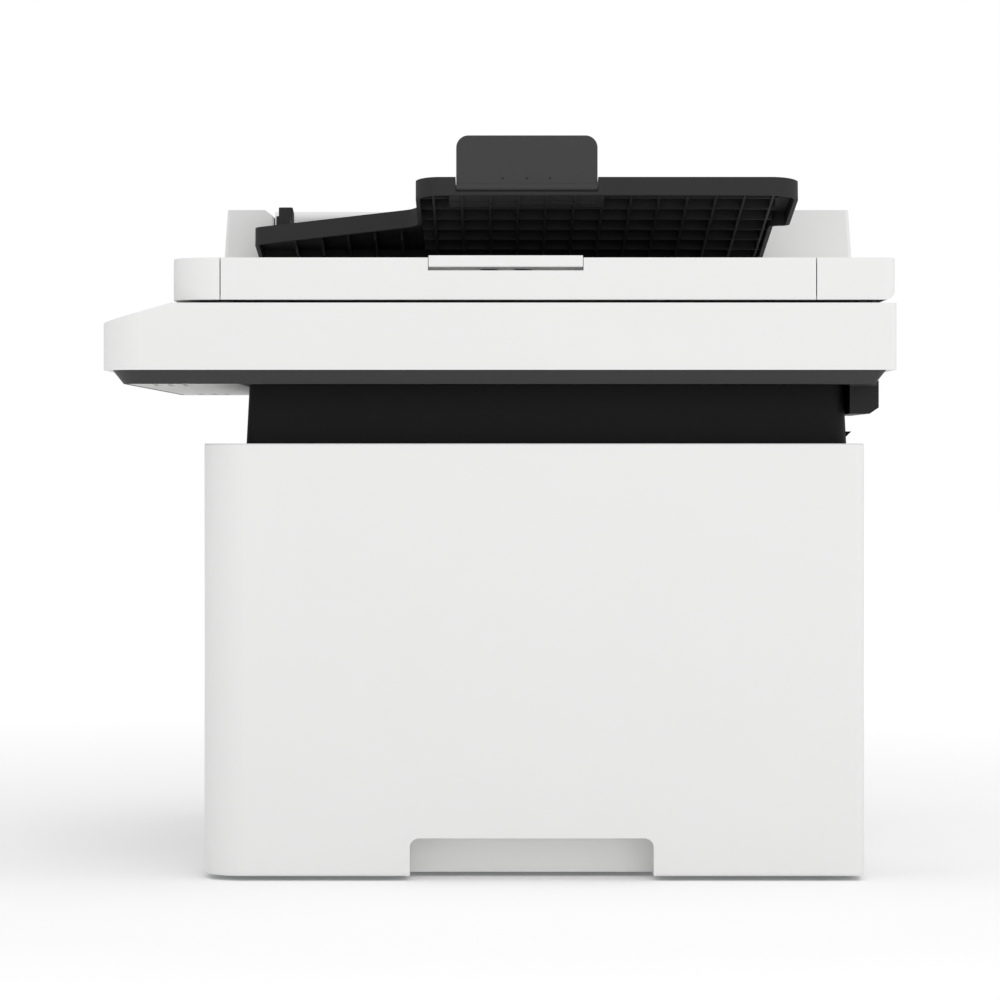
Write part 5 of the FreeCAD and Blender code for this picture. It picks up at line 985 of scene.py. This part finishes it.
@dataclass
class ControlPanel:
    """Signs, lamps and display figures of the sloping panel."""

    ink: float = 0.06 * MM
    stroke_half: float = 0.28 * MM
    corner_softness: float = 0.12
    power_radius: float = 2.3 * MM
    power_arc_degrees: tuple = (125, 415)
    power_bar_mm: tuple = (0.6, 3.0)
    lamp_radius: float = 1.3 * MM
    lamp_height: float = 0.9 * MM
    digit_width: float = 3.4 * MM
    digit_height: float = 7.0 * MM
    digit_stroke: float = 0.35 * MM
    readouts_mm: tuple = ((-30, "100"), (20, "1"))
    rule_reach: float = 7 * MM
    rule_places_mm: tuple = (-112, -70, 92, 137)

    def axes(self, node: str) -> Axes:
        """Axes on the upper face of a node that lies in the panel's slope."""
        push = joint("key_start_press")["axis"]
        return face_axes(node, (1, 0, 0), (0, -push[2], push[1]))

    def stroke(self, path: Array) -> Shell:
        """Draws a flat line: two points square to the path at each of its points, at two heights.

        Args:
            path: points of shape (count, 3) along the middle of the line.

        Returns:
            The line of ink.
        """
        run = np.gradient(path, axis=0)
        run /= np.linalg.norm(run, axis=1, keepdims=True)
        side = np.stack([-run[:, 1], run[:, 0], 0 * run[:, 0]], 1) * self.stroke_half
        lift = np.array([0, 0, self.ink])
        corners = [path + side, path - side, path - side + lift, path + side + lift]
        return loft(np.stack(corners, 1))

    def signs(self) -> None:
        """A sign on each key, and a broken ring with a bar on the power button."""
        for mark in Mark:
            key, corners, radius, turn = mark.value
            outline = soft_polygon(corners, radius * MM, self.corner_softness, turn)
            sign = plaque(outline, self.ink, self.ink / 2)
            fit(f"{key}_sign", sign.placed(self.axes(key)), "white_ink", key)
        angle = np.linspace(*np.radians(self.power_arc_degrees), 26)
        arc = self.power_radius * np.stack([np.cos(angle), np.sin(angle), 0 * angle], 1)
        up = np.linspace(*self.power_bar_mm, 12) * MM
        sign = self.stroke(arc).joined(self.stroke(np.stack([0 * up, up, 0 * up], 1)))
        fit("power_sign", sign.placed(self.axes("power_button")), "white_ink", "power_button")

    def lamps(self) -> None:
        """Three domed indicator lamps."""
        axes = self.axes("panel_bezel")
        rise = np.linspace(0, 1, 8)
        dome = lathe(self.lamp_height * rise, self.lamp_radius * np.sqrt(1 - rise**2), 24)
        for lamp in Lamp:
            x, finish = lamp.value
            spot = replace(axes, origin=(x * MM, *axes.origin[1:]))
            fit(f"{lamp.name.lower()}_lamp", dome.placed(spot), finish, "root")

    def figures(self) -> None:
        """Seven-segment figures on the display: a size in hundredths and a count of copies."""
        wide, high, thick = self.digit_width, self.digit_height, self.digit_stroke
        flat = plaque(soft_box(wide * 0.4, thick, 3, 20), self.ink, self.ink / 2)
        tall = plaque(soft_box(thick, high * 0.2, 3, 20), self.ink, self.ink / 2)
        level = {"a": high, "d": 0}
        upright = {
            "b": (wide, high * 0.75), "c": (wide, high * 0.25),
            "e": (0, high * 0.25), "f": (0, high * 0.75),
        }
        lit = {"0": "abcdef", "1": "bc"}
        flats, talls = [], []
        for start, text in self.readouts_mm:
            for number, sign in enumerate(text):
                x = start * MM + number * wide * 1.7
                for segment in lit[sign]:
                    if segment in level:
                        flats.append((x + wide / 2, level[segment] - high / 2, 0))
                    else:
                        across, up = upright[segment]
                        talls.append((x + across, up - high / 2, 0))
        shells = flat.repeated(flats).joined(tall.repeated(talls))
        fit("display_figures", shells.placed(self.axes("display_window")), "segment_ink", "root")

    def rules(self) -> None:
        """Short printed rules that part the groups of keys."""
        rule = self.stroke(line((0, -self.rule_reach, 0), (0, self.rule_reach, 0)))
        rows = rule.repeated([(x * MM, 0, 0) for x in self.rule_places_mm])
        fit("panel_rules", rows.placed(self.axes("panel_bezel")), "grey_ink", "root")

    def build(self) -> None:
        """Makes the panel's pieces."""
        self.signs()
        self.lamps()
        self.figures()
        self.rules()


# ---- scanner
@dataclass
class Scanner:
    """What shows on and under the platen: scale, rest pads, lamp, belt and pulleys."""

    tick: float = 0.25 * MM
    tick_step: float = 5 * MM
    tick_reaches: tuple = (1.6 * MM, 2.6 * MM)
    window_rim: float = 2 * MM
    scale_gap: float = 3.4 * MM
    corner_gap: tuple = (4.5 * MM, 5 * MM)
    pad_radius: float = 4 * MM
    pad_inset: float = 6 * MM
    pad_front: float = 26 * MM
    pad_back: float = 14.7 * MM
    lamp_end: float = 8 * MM
    lamp_depth: float = 1.1 * MM
    pulley: float = 5 * MM
    pulley_inset: float = 8 * MM
    belt_y: float = -34 * MM
    belt_z: float = 251 * MM
    belt_gap: float = 0.5 * MM
    belt_half: float = 0.4 * MM
    belt_reach: float = 3 * MM
    tooth: float = 0.45 * MM

    def scale(self) -> None:
        """Tick marks along the back edge of the platen window, and an arrow at its corner."""
        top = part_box("scanner_top_frame")[1].z
        low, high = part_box("platen_pad")
        left, back = low.x - self.window_rim, high.y + self.window_rim
        short, long = (printed(self.tick, reach) for reach in self.tick_reaches)
        steps = np.arange(1, int((high.x - low.x) / self.tick_step))
        start = np.array([left, back + self.scale_gap, top])
        spots = start + steps[:, None] * np.array([self.tick_step, 0, 0])
        whole = steps % 2 == 0
        rows = short.repeated(spots[~whole]).joined(long.repeated(spots[whole]))
        fit("platen_scale", rows, "grey_ink", "root")
        arrow = plaque(soft_polygon(3, 3 * MM, 0.1, -math.pi / 4), INK, INK_EDGE)
        corner = Axes((left - self.corner_gap[0], back + self.corner_gap[1], top))
        fit("platen_corner_mark", arrow.placed(corner), "dark_ink", "root")

    def rest_pads(self) -> None:
        """Four rubber pads that the closed lid rests on."""
        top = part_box("scanner_top_frame")[1].z
        low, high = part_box("lid_front_trim")[0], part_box("lid_rear_trim")[1]
        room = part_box("lid_shell")[0].z - top
        rise = np.array([0, 0.6, 0.85, 0.97, 1.0]) * (room - 0.1 * MM)
        reach = np.array([1.0, 1.0, 0.93, 0.75, 0.3]) * self.pad_radius
        spots = [
            (x, y, top)
            for x in (low.x + self.pad_inset, high.x - self.pad_inset)
            for y in (low.y + self.pad_front, high.y - self.pad_back)
        ]
        fit("lid_rest_pads", lathe(rise, reach, 32).repeated(spots), "rubber", "root")

    def lamp(self) -> None:
        """Light bar in the scanning carriage."""
        low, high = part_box("scan_carriage")
        middle, level = (low.x + high.x) / 2, high.z - self.lamp_depth
        ends = ((middle, y, level) for y in (low.y + self.lamp_end, high.y - self.lamp_end))
        bar = rib(line(*ends, 25), 2.4 * MM, 0.6 * MM, (1, 0, 0), 20)
        fit("carriage_lamp", bar, "cold_lamp", "scan_carriage")

    def belt_path(self, left: float, right: float) -> tuple[Array, Array]:
        """Runs round two pulleys: two half circles and two straight lines.

        Args:
            left: place of the left pulley.
            right: place of the right one.

        Returns:
            Points on the belt's middle line, and the direction square to it at each.
        """
        reach = self.pulley + self.belt_gap
        half = np.linspace(-np.pi / 2, np.pi / 2, 24)
        run = np.linspace(0, 1, 240, endpoint=False)[1:, None]
        arc = reach * np.stack([np.cos(half), np.sin(half)], 1)
        east, west = arc + [right, 0], -arc + [left, 0]
        there, back = (a[-1] + run * (b[0] - a[-1]) for a, b in ((east, west), (west, east)))
        up = np.tile([[0, reach]], (len(run), 1))
        normal = np.concatenate([arc, up, -arc, -up]) / reach
        return np.concatenate([east, there, west, back]), normal

    def belt(self) -> None:
        """Toothed belt round two pulleys, which turn on pins in the scanner's floor."""
        low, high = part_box("carriage_rod")
        ends = (low.x + self.pulley_inset, high.x - self.pulley_inset)
        path, normal = self.belt_path(*ends)
        tooth = self.tooth * (np.arange(len(path)) % 3 == 0)[:, None]
        inner, outer = path - normal * (self.belt_half + tooth), path + normal * self.belt_half
        strap = frame_ring(outer, inner, 2 * self.belt_reach)
        start = Axes((0, self.belt_y, self.belt_z - self.belt_reach))
        fit("carriage_belt", strap.placed(start), "rubber", "root")
        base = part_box("panel_underside")[0].z + 3 * MM
        rim = self.belt_z + np.array([-4.2, -4.2, -3.4, -3.3, 3.3, 3.4, 4.2]) * MM
        radii = np.array([4, 2.2, 2.2, 6.4, 6.4, 4.5, 4.5, 6.4, 6.2]) * MM
        pulley = lathe(np.concatenate([[base, base + 1.5 * MM], rim]), radii, 48)
        spots = [(x, self.belt_y, 0) for x in ends]
        fit("belt_pulleys", pulley.repeated(spots), "key_grey", "root")

    def build(self) -> None:
        """Makes the scanner's pieces."""
        self.scale()
        self.rest_pads()
        self.lamp()
        self.belt()


# ---- document feeder
@dataclass
class DocumentFeeder:
    """Raised lines, sign, separation pad, grooved sleeve and buffers of the feeder and lid."""

    grip_lines: int = 6
    grip_step: float = 2.4 * MM
    grip_reach: float = 22 * MM
    grip_inset: float = 12 * MM
    sign_place: tuple = (12 * MM, 30 * MM)
    pad_drop: float = 8.9 * MM
    pad_y: float = 2 * MM
    tyre: float = 8 * MM
    sleeve: float = 0.18 * MM
    sleeve_start: float = -21 * MM
    sleeve_length: float = 46 * MM
    grooves: int = 9
    buffer_places_mm: tuple = (-8.1, 8.1)
    buffer_origin: tuple = (-4.1 * MM, 3.5 * MM, -4.4 * MM)

    def cover(self) -> None:
        """Grip lines near the cover's opening edge and a page sign on its top."""
        low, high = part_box("adf_cover")
        middle, edge = (low.y + high.y) / 2, high.x - self.grip_inset
        ends = ((edge, middle + way * self.grip_reach, high.z) for way in (-1, 1))
        grip = rib(line(*ends), 0.6 * MM, 0.45 * MM, (1, 0, 0))
        rows = grip.repeated([(-self.grip_step * k, 0, 0) for k in range(self.grip_lines)])
        fit("cover_grip_lines", rows, "white_casing", "adf_cover")
        outer, inner = (soft_box(x * MM, y * MM, 10) for x, y in ((6.5, 8.5), (5.9, 7.9)))
        text = printed(4 * MM, 0.3 * MM).repeated([(0, y * MM, 0) for y in (4.5, 1.5, -1.5)])
        x, y = (low.x + high.x) / 2 + self.sign_place[0], low.y + self.sign_place[1]
        page = frame_ring(outer, inner, INK).joined(text).placed(Axes((x, y, high.z)))
        fit("feeder_page_sign", page, "grey_ink", "adf_cover")

    def pad(self) -> None:
        """Cork separation pad under the pick roller."""
        x, _, z = joint("pick_roller_spin")["pos_m"]
        cork = plaque(soft_box(7.4 * MM, 15.2 * MM, 8), 0.55 * MM, 0.15 * MM)
        under = Axes((x, self.pad_y, z - self.pad_drop))
        fit("separation_pad", cork.placed(under), "cork", "lid")

    def sleeves(self) -> None:
        """Grooved sleeve on the pick roller's middle tyre: its radius waves along its length."""
        x, _, z = joint("pick_roller_spin")["pos_m"]
        stations = np.linspace(0, 1, 8 * self.grooves + 1)
        wave = 0.5 + 0.5 * np.cos(2 * np.pi * self.grooves * stations)
        radii = self.tyre + self.sleeve * (1 - 0.7 * wave)
        radii[[0, -1]] = self.tyre - 2 * MM
        sleeve = lathe(stations * self.sleeve_length, radii, 48, 24, 0.04 * MM)
        axes = Axes((x, self.sleeve_start, z), (1, 0, 0), (0, 0, -1))
        fit("pick_roller_sleeve", sleeve.placed(axes), "roller_rubber", "adf_pick_roller")

    def buffers(self) -> None:
        """Two rubber buffers in the lid's recess, under the sheet stopper."""
        hinge = joint("stopper_hinge")["pos_m"]
        buffer = plaque(soft_box(4.6 * MM, 1.2 * MM, 5), 0.9 * MM, 0.3 * MM)
        x, y, z = self.buffer_origin
        wall = Axes((hinge[0] + x, y, hinge[2] + z), *TO_RIGHT)
        pair = buffer.repeated([(place * MM, 0, 0) for place in self.buffer_places_mm])
        fit("stopper_buffers", pair.placed(wall), "rubber", "lid")

    def build(self) -> None:
        """Makes the feeder's pieces."""
        self.cover()
        self.pad()
        self.sleeves()
        self.buffers()


# ---- document tray
@dataclass
class DocumentTray:
    """Size lines, arrow, guide grips, flap studs and pocket ribs of the feeder's tray."""

    tilt: float = math.radians(7.7)
    surface: float = 5.2 * MM
    size_lines_mm: tuple = (60, 92, 104)
    size_line_gap: float = 8 * MM
    size_line_place: tuple = (70 * MM, 2 * MM)
    arrow_place: tuple = (120 * MM, 12 * MM)
    shaft_place: float = 11 * MM
    grip_place: float = 44 * MM
    grip_inset: float = 9 * MM
    grip_lift: float = 1.5 * MM
    stud_places_mm: tuple = (2.0, 13.8, 25.1)
    stud_height: float = 6.7 * MM
    flap_half: float = 1.2 * MM
    pocket_lines_mm: tuple = (30, 16, 2, -12, -26)
    pocket_place: tuple = (186.5 * MM, 12 * MM, -9.0 * MM)

    def axes(self, along: float, y: float, above: float = 0.0) -> Axes:
        """Finds a place on the tray's tilted surface.

        Args:
            along: distance up the slope from the tray's hinge.
            y: place from front to back.
            above: height over the surface.

        Returns:
            Axes there: across it runs up the slope, and up it runs from front to back.
        """
        pivot = joint("adf_tray_hinge")["pos_m"]
        run, rise = math.cos(self.tilt), math.sin(self.tilt)
        out = self.surface + above
        origin = (pivot[0] + along * run - out * rise, y, pivot[2] + along * rise + out * run)
        return Axes(origin, (run, 0, rise), (0, 1, 0))

    def marks(self) -> None:
        """Printed corners where each size of sheet meets a guide."""
        places = [way * y * MM for y in self.size_lines_mm for way in (-1, 1)]
        upright, level = printed(0.4 * MM, 5 * MM), printed(5 * MM, 0.4 * MM)
        corners = upright.repeated([(0, y, 0) for y in places]).joined(
            level.repeated([(self.size_line_gap, y, 0) for y in places])
        )
        spot = self.axes(*self.size_line_place)
        fit("tray_size_marks", corners.placed(spot), "grey_ink", "adf_tray")

    def arrow(self) -> None:
        """Raised arrow that shows which way a sheet goes in."""
        head, shaft = (
            plaque(outline, 0.35 * MM, 0.15 * MM)
            for outline in (soft_polygon(3, 6 * MM, 0.08, math.pi), soft_box(8 * MM, 1.6 * MM, 8))
        )
        whole = head.joined(shaft.repeated([(self.shaft_place, 0, 0)]))
        spot = self.axes(*self.arrow_place)
        fit("tray_arrow", whole.placed(spot), "smoke_grey", "adf_tray")

    def guide_grips(self) -> None:
        """Raised lines on the inner plates of both guides."""
        grip = rib(line((0, -5 * MM, 0), (0, 5 * MM, 0)), 0.7 * MM, 0.5 * MM, (1, 0, 0))
        rows = grip.repeated([(3 * MM * k, 0, 0) for k in range(-2, 3)])
        for node, side, way in (("adf_guide_front", 1, -1), ("adf_guide_rear", 0, 1)):
            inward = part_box(node)[side].y + way * self.grip_inset
            spot = self.axes(self.grip_place, inward, self.grip_lift)
            fit(f"{node}_grips", rows.placed(spot), "black_casing", node)

    def studs(self) -> None:
        """Three small studs on the flap's outer face."""
        rise = np.linspace(0, 1, 6)
        stud = lathe(0.3 * MM * rise, 0.6 * MM * np.sqrt(1 - rise**2 * 0.98), 20)
        face = joint("tray_flap_hinge")["pos_m"][0] + self.flap_half
        axes = Axes((face, 0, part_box("tray_flap")[0].z + self.stud_height), *TO_RIGHT)
        rows = stud.repeated([(y * MM, 0, 0) for y in self.stud_places_mm])
        fit("flap_studs", rows.placed(axes), "black_casing", "tray_flap")

    def pocket_ribs(self) -> None:
        """Ribs under the flap's pocket, in line with the ribs of the tray."""
        ahead, across = (
            plaque(soft_box(x * MM, y * MM, 8, 24), 0.8 * MM, 0.2 * MM)
            for x, y in ((13.5, 0.6), (0.6, 36))
        )
        grid = ahead.repeated([(0, y * MM, 0) for y in self.pocket_lines_mm]).joined(across)
        under = replace(self.axes(*self.pocket_place), up=(0, -1, 0))
        fit("flap_pocket_ribs", grid.placed(under), "black_casing", "adf_tray")

    def build(self) -> None:
        """Makes the tray's pieces."""
        self.pocket_ribs()
        self.marks()
        self.arrow()
        self.guide_grips()
        self.studs()


# ---- output bin
@dataclass
class OutputBin:
    """Sheet ribs on the bin's sloping floor and the brush that drains static from the sheets."""

    ribs: int = 7
    rib_reach: float = 102 * MM
    rib_half: float = 1.1 * MM
    slope_front: float = -56 * MM
    slope_back: tuple = (104 * MM, 183.9 * MM)
    bristles: int = 110
    brush_reach: float = 104 * MM
    brush_wall: float = 108 * MM
    brush_lift: float = 7.2 * MM
    bristle_length: float = 5.5 * MM
    bristle_half: float = 0.12 * MM

    def floor_ribs(self) -> None:
        """Ribs that run down the slope: straight lines from the deck to the back wall's foot."""
        start = (0, self.slope_front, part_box("bin_stop")[1].z + 0.2 * MM)
        shape = rib(line(start, (0, *self.slope_back), 25), self.rib_half, 0.8 * MM, (1, 0, 0), 20)
        spots = [(x, 0, 0) for x in np.linspace(-self.rib_reach, self.rib_reach, self.ribs)]
        fit("bin_floor_ribs", shape.repeated(spots), "black_casing", "root")

    def brush(self) -> None:
        """Bristles that hang from a rail over the exit: each leans out as its length squared."""
        half, wall = self.brush_reach, self.brush_wall
        top = joint("exit_spin")["pos_m"][2] + self.brush_lift
        ends = ((x, wall - 0.9 * MM, top + 1.6 * MM) for x in (-half, half))
        rail = rib(line(*ends, 25), 0.9 * MM, 1.3 * MM, (0, 1, 0), 30)
        fit("exit_brush_rail", rail, "steel", "root")
        share = np.linspace(0, 1, 5)
        lean = wall - (0.9 + 1.6 * share**2) * MM
        path = np.stack([0 * share, lean, top - self.bristle_length * share], 1)
        section = np.array([[-1, -1, 0], [1, -1, 0], [1, 1, 0], [-1, 1, 0]]) * self.bristle_half
        bristle = loft(path[:, None] + section[None] * (1 - 0.4 * share)[:, None, None])
        places = np.linspace(-half + 2 * MM, half - 2 * MM, self.bristles)
        rows = bristle.repeated([(x, 0, 0) for x in places])
        fit("exit_brush_bristles", rows, "dark_ink", "root")

    def build(self) -> None:
        """Makes the bin's pieces."""
        self.floor_ribs()
        self.brush()


# ---- body
@dataclass
class Body:
    """Sleeves and shells of the sockets, foot treads, cassette marks and level window."""

    contact: float = 0.15 * MM
    blades_mm: tuple = ((-7, -1), (0, 3), (7, -1))
    sleeve_length: float = 11 * MM
    inlet_depth: float = 15 * MM
    ports_mm: tuple = ((66, 79), (88, 103), (112, 125))
    port_half: float = 6.5 * MM
    port_rim: float = 1.5 * MM
    shell_depth: float = 8.2 * MM
    leaf_depth: float = 11 * MM
    leaf_drop_mm: float = 3.7
    foot_radius: float = 9 * MM
    mark_places_mm: tuple = (74, 91, 105)
    mark_y: float = 72 * MM
    window_inset: float = 22 * MM
    window_z: float = 28 * MM
    bar_z: float = 24.5 * MM

    def mains(self) -> None:
        """Bright sleeves on the mains inlet's three blades."""
        low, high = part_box("power_inlet")
        outline = soft_box(1 * MM + self.contact, 2 * MM + self.contact, 8, 24)
        sleeve = plaque(outline, self.sleeve_length, 0.6 * MM)
        rows = sleeve.repeated([(x * MM, y * MM, 0) for x, y in self.blades_mm])
        spot = ((low.x + high.x) / 2, high.y - self.inlet_depth, (low.z + high.z) / 2)
        fit("inlet_contacts", rows.placed(Axes(spot, *TO_BACK)), "tin_shell", "root")

    def sockets(self) -> None:
        """Pressed-metal shells round the data sockets' mouths and gilt contacts inside them."""
        low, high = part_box("data_ports")
        x = (low.x + high.x) / 2
        leaf = plaque(soft_box(0.45 * MM, 0.12 * MM, 6, 12), 8 * MM, 0.05 * MM)
        leaves = leaf.repeated([(place * MM, 0, 0) for place in (-3, -1, 1, 3)])
        shells, contacts = [], []
        for bottom, top in self.ports_mm:
            tall = (top - bottom) / 2 * MM - self.port_rim
            outer, inner = (
                soft_box(self.port_half - wall, tall - wall, 12) for wall in (0.05 * MM, 0.45 * MM)
            )
            mouth = (x, high.y - self.shell_depth, (bottom + top) / 2 * MM)
            shells.append(frame_ring(outer, inner, 8 * MM).placed(Axes(mouth, *TO_BACK)))
            tongue = (x, high.y - self.leaf_depth, (top - self.leaf_drop_mm) * MM)
            contacts.append(leaves.placed(Axes(tongue, *TO_BACK)))
        fit("port_shells", shells[0].joined(*shells[1:]), "tin_shell", "root")
        fit("port_contacts", contacts[0].joined(*contacts[1:]), "gold_contact", "root")

    def treads(self) -> None:
        """Rings round each foot, from the floor up, whose edge waves with height."""
        share = np.linspace(0, 1, 13)
        low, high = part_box("rubber_feet")
        inset = self.foot_radius
        reach = inset + 0.25 * MM * (1 + np.cos(4 * np.pi * share))
        tread = lathe(0.1 * MM + 1.7 * MM * share, reach, 48)
        rows, columns = ((a + inset, b - inset) for a, b in zip(low.xy, high.xy))
        spots = [(x, y, 0) for x in rows for y in columns]
        fit("foot_treads", tread.repeated(spots), "rubber", "root")

    def cassette_marks(self) -> None:
        """Size lines on the cassette's floor beside the width guides."""
        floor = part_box("width_guide_right")[0].z - 0.3 * MM
        spots = [(way * x * MM, self.mark_y, floor) for x in self.mark_places_mm for way in (-1, 1)]
        rows = printed(0.4 * MM, 6 * MM).repeated(spots)
        fit("cassette_size_marks", rows, "grey_ink", "cassette")

    def level_window(self) -> None:
        """Dark window in the cassette's front, with a sheet-level bar on it; the bar glows with painted light,
        though it is no lamp.
        """
        low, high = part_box("paper_cassette")
        x = high.x - self.window_inset
        window = plaque(soft_box(2.2 * MM, 9 * MM, 5), 0.5 * MM, 0.25 * MM)
        spot = Axes((x, low.y + 0.1 * MM, self.window_z), *TO_FRONT)
        fit("level_window", window.placed(spot), "black_gloss", "cassette")
        # The bar takes the amber lamp's finish, whose glow is painted light here.
        bar = plaque(soft_box(1.2 * MM, 3.4 * MM, 4), 0.12 * MM, 0.05 * MM)
        spot = Axes((x, low.y - 0.4 * MM, self.bar_z), *TO_FRONT)
        fit("level_bar", bar.placed(spot), "amber_lamp", "cassette")

    def build(self) -> None:
        """Makes the body's pieces."""
        self.mains()
        self.sockets()
        self.treads()
        self.cassette_marks()
        self.level_window()


# ---- studio
class Softbox(Enum):
    """Large square lights: where each hangs, its side in metres and its power in watts."""

    TOP = ((0.3, 0.3, 2.6), 2.6, 19)
    SIDE = ((3.2, 0.7, 1.0), 2.2, 17)
    FRONT = ((-0.6, -3.2, 1.5), 2.4, 4)
    BACK = ((0.9, 3.2, 1.2), 2.0, 5)


@dataclass
class Studio:
    """Pale floor, soft light and a level camera beside the machine."""

    camera_place: tuple = (2.31, 0.0006, 0.2035)
    lens: float = 158.5
    shift: float = -0.045
    floor_radius: float = 14.0
    floor_level: float = -0.0002
    floor_underside: float = -0.05
    sky: float = 0.67
    backdrop: float = 1.0
    aim: tuple = (0, 0, 0.2)

    def floor(self) -> None:
        """Round floor: rings whose radius grows as the square of their number."""
        share = np.linspace(0.02, 1, 12)
        reach = (self.floor_radius * share**2)[::-1]
        levels = np.concatenate([[self.floor_underside], self.floor_level - 0 * reach])
        disc = lathe(levels, np.concatenate([[self.floor_radius], reach]), 72)
        floor = make_mesh("floor", disc, "floor_paint")

    def world(self) -> None:
        """Even pale surroundings, brighter where the camera looks straight at them."""
        world = bpy.data.worlds.new("surroundings")
        kit = NodeKit(world)
        seen = kit.add("ShaderNodeLightPath", {}, {}, "Is Camera Ray")
        white = (1, 1, 1, 1)
        around, behind = (
            kit.add("ShaderNodeBackground", {}, {"Color": white, "Strength": level})
            for level in (self.sky, self.backdrop)
        )
        surface = kit.add("ShaderNodeMixShader", {}, {0: seen, 1: around, 2: behind})
        kit.add("ShaderNodeOutputWorld", {}, {"Surface": surface}, None)
        bpy.context.scene.world = world

    def lights(self) -> None:
        """Hangs the softboxes, each turned to the machine."""
        for box in Softbox:
            name = f"{box.name.lower()}_light"
            place, size, power = box.value
            light = bpy.data.lights.new(name, "AREA")
            light.shape = "SQUARE"
            light.size = size
            light.energy = power
            lamp = bpy.data.objects.new(name, light)
            lamp.location = place
            aim = Vector(self.aim) - Vector(place)
            lamp.rotation_euler = aim.to_track_quat("-Z", "Y").to_euler()
            lamp.visible_camera = False
            bpy.context.scene.collection.objects.link(lamp)

    def camera(self) -> None:
        """Camera on the machine's right, level, looking along -X."""
        lens = bpy.data.cameras.new("camera")
        lens.lens = self.lens
        lens.sensor_width = 36.0
        lens.shift_y = self.shift
        camera = bpy.data.objects.new("camera", lens)
        camera.location = self.camera_place
        camera.rotation_euler = (math.pi / 2, 0, math.pi / 2)
        bpy.context.scene.collection.objects.link(camera)
        bpy.context.scene.camera = camera

    def build(self) -> None:
        """Sets the studio up."""
        bpy.context.scene.view_settings.view_transform = "Standard"
        self.floor()
        self.world()
        self.lights()
        self.camera()


def main() -> None:
    """Builds the studio and every group of pieces, in order."""
    logging.basicConfig(level=logging.INFO, format="%(name)s: %(message)s")
    PAINT.paint_frame()
    groups = (Studio, ControlPanel, Scanner, DocumentFeeder, DocumentTray, OutputBin, Body)
    for group in groups:
        LOG.info("building %s", group.__name__)
        group().build()


if __name__ == "__main__":
    main()
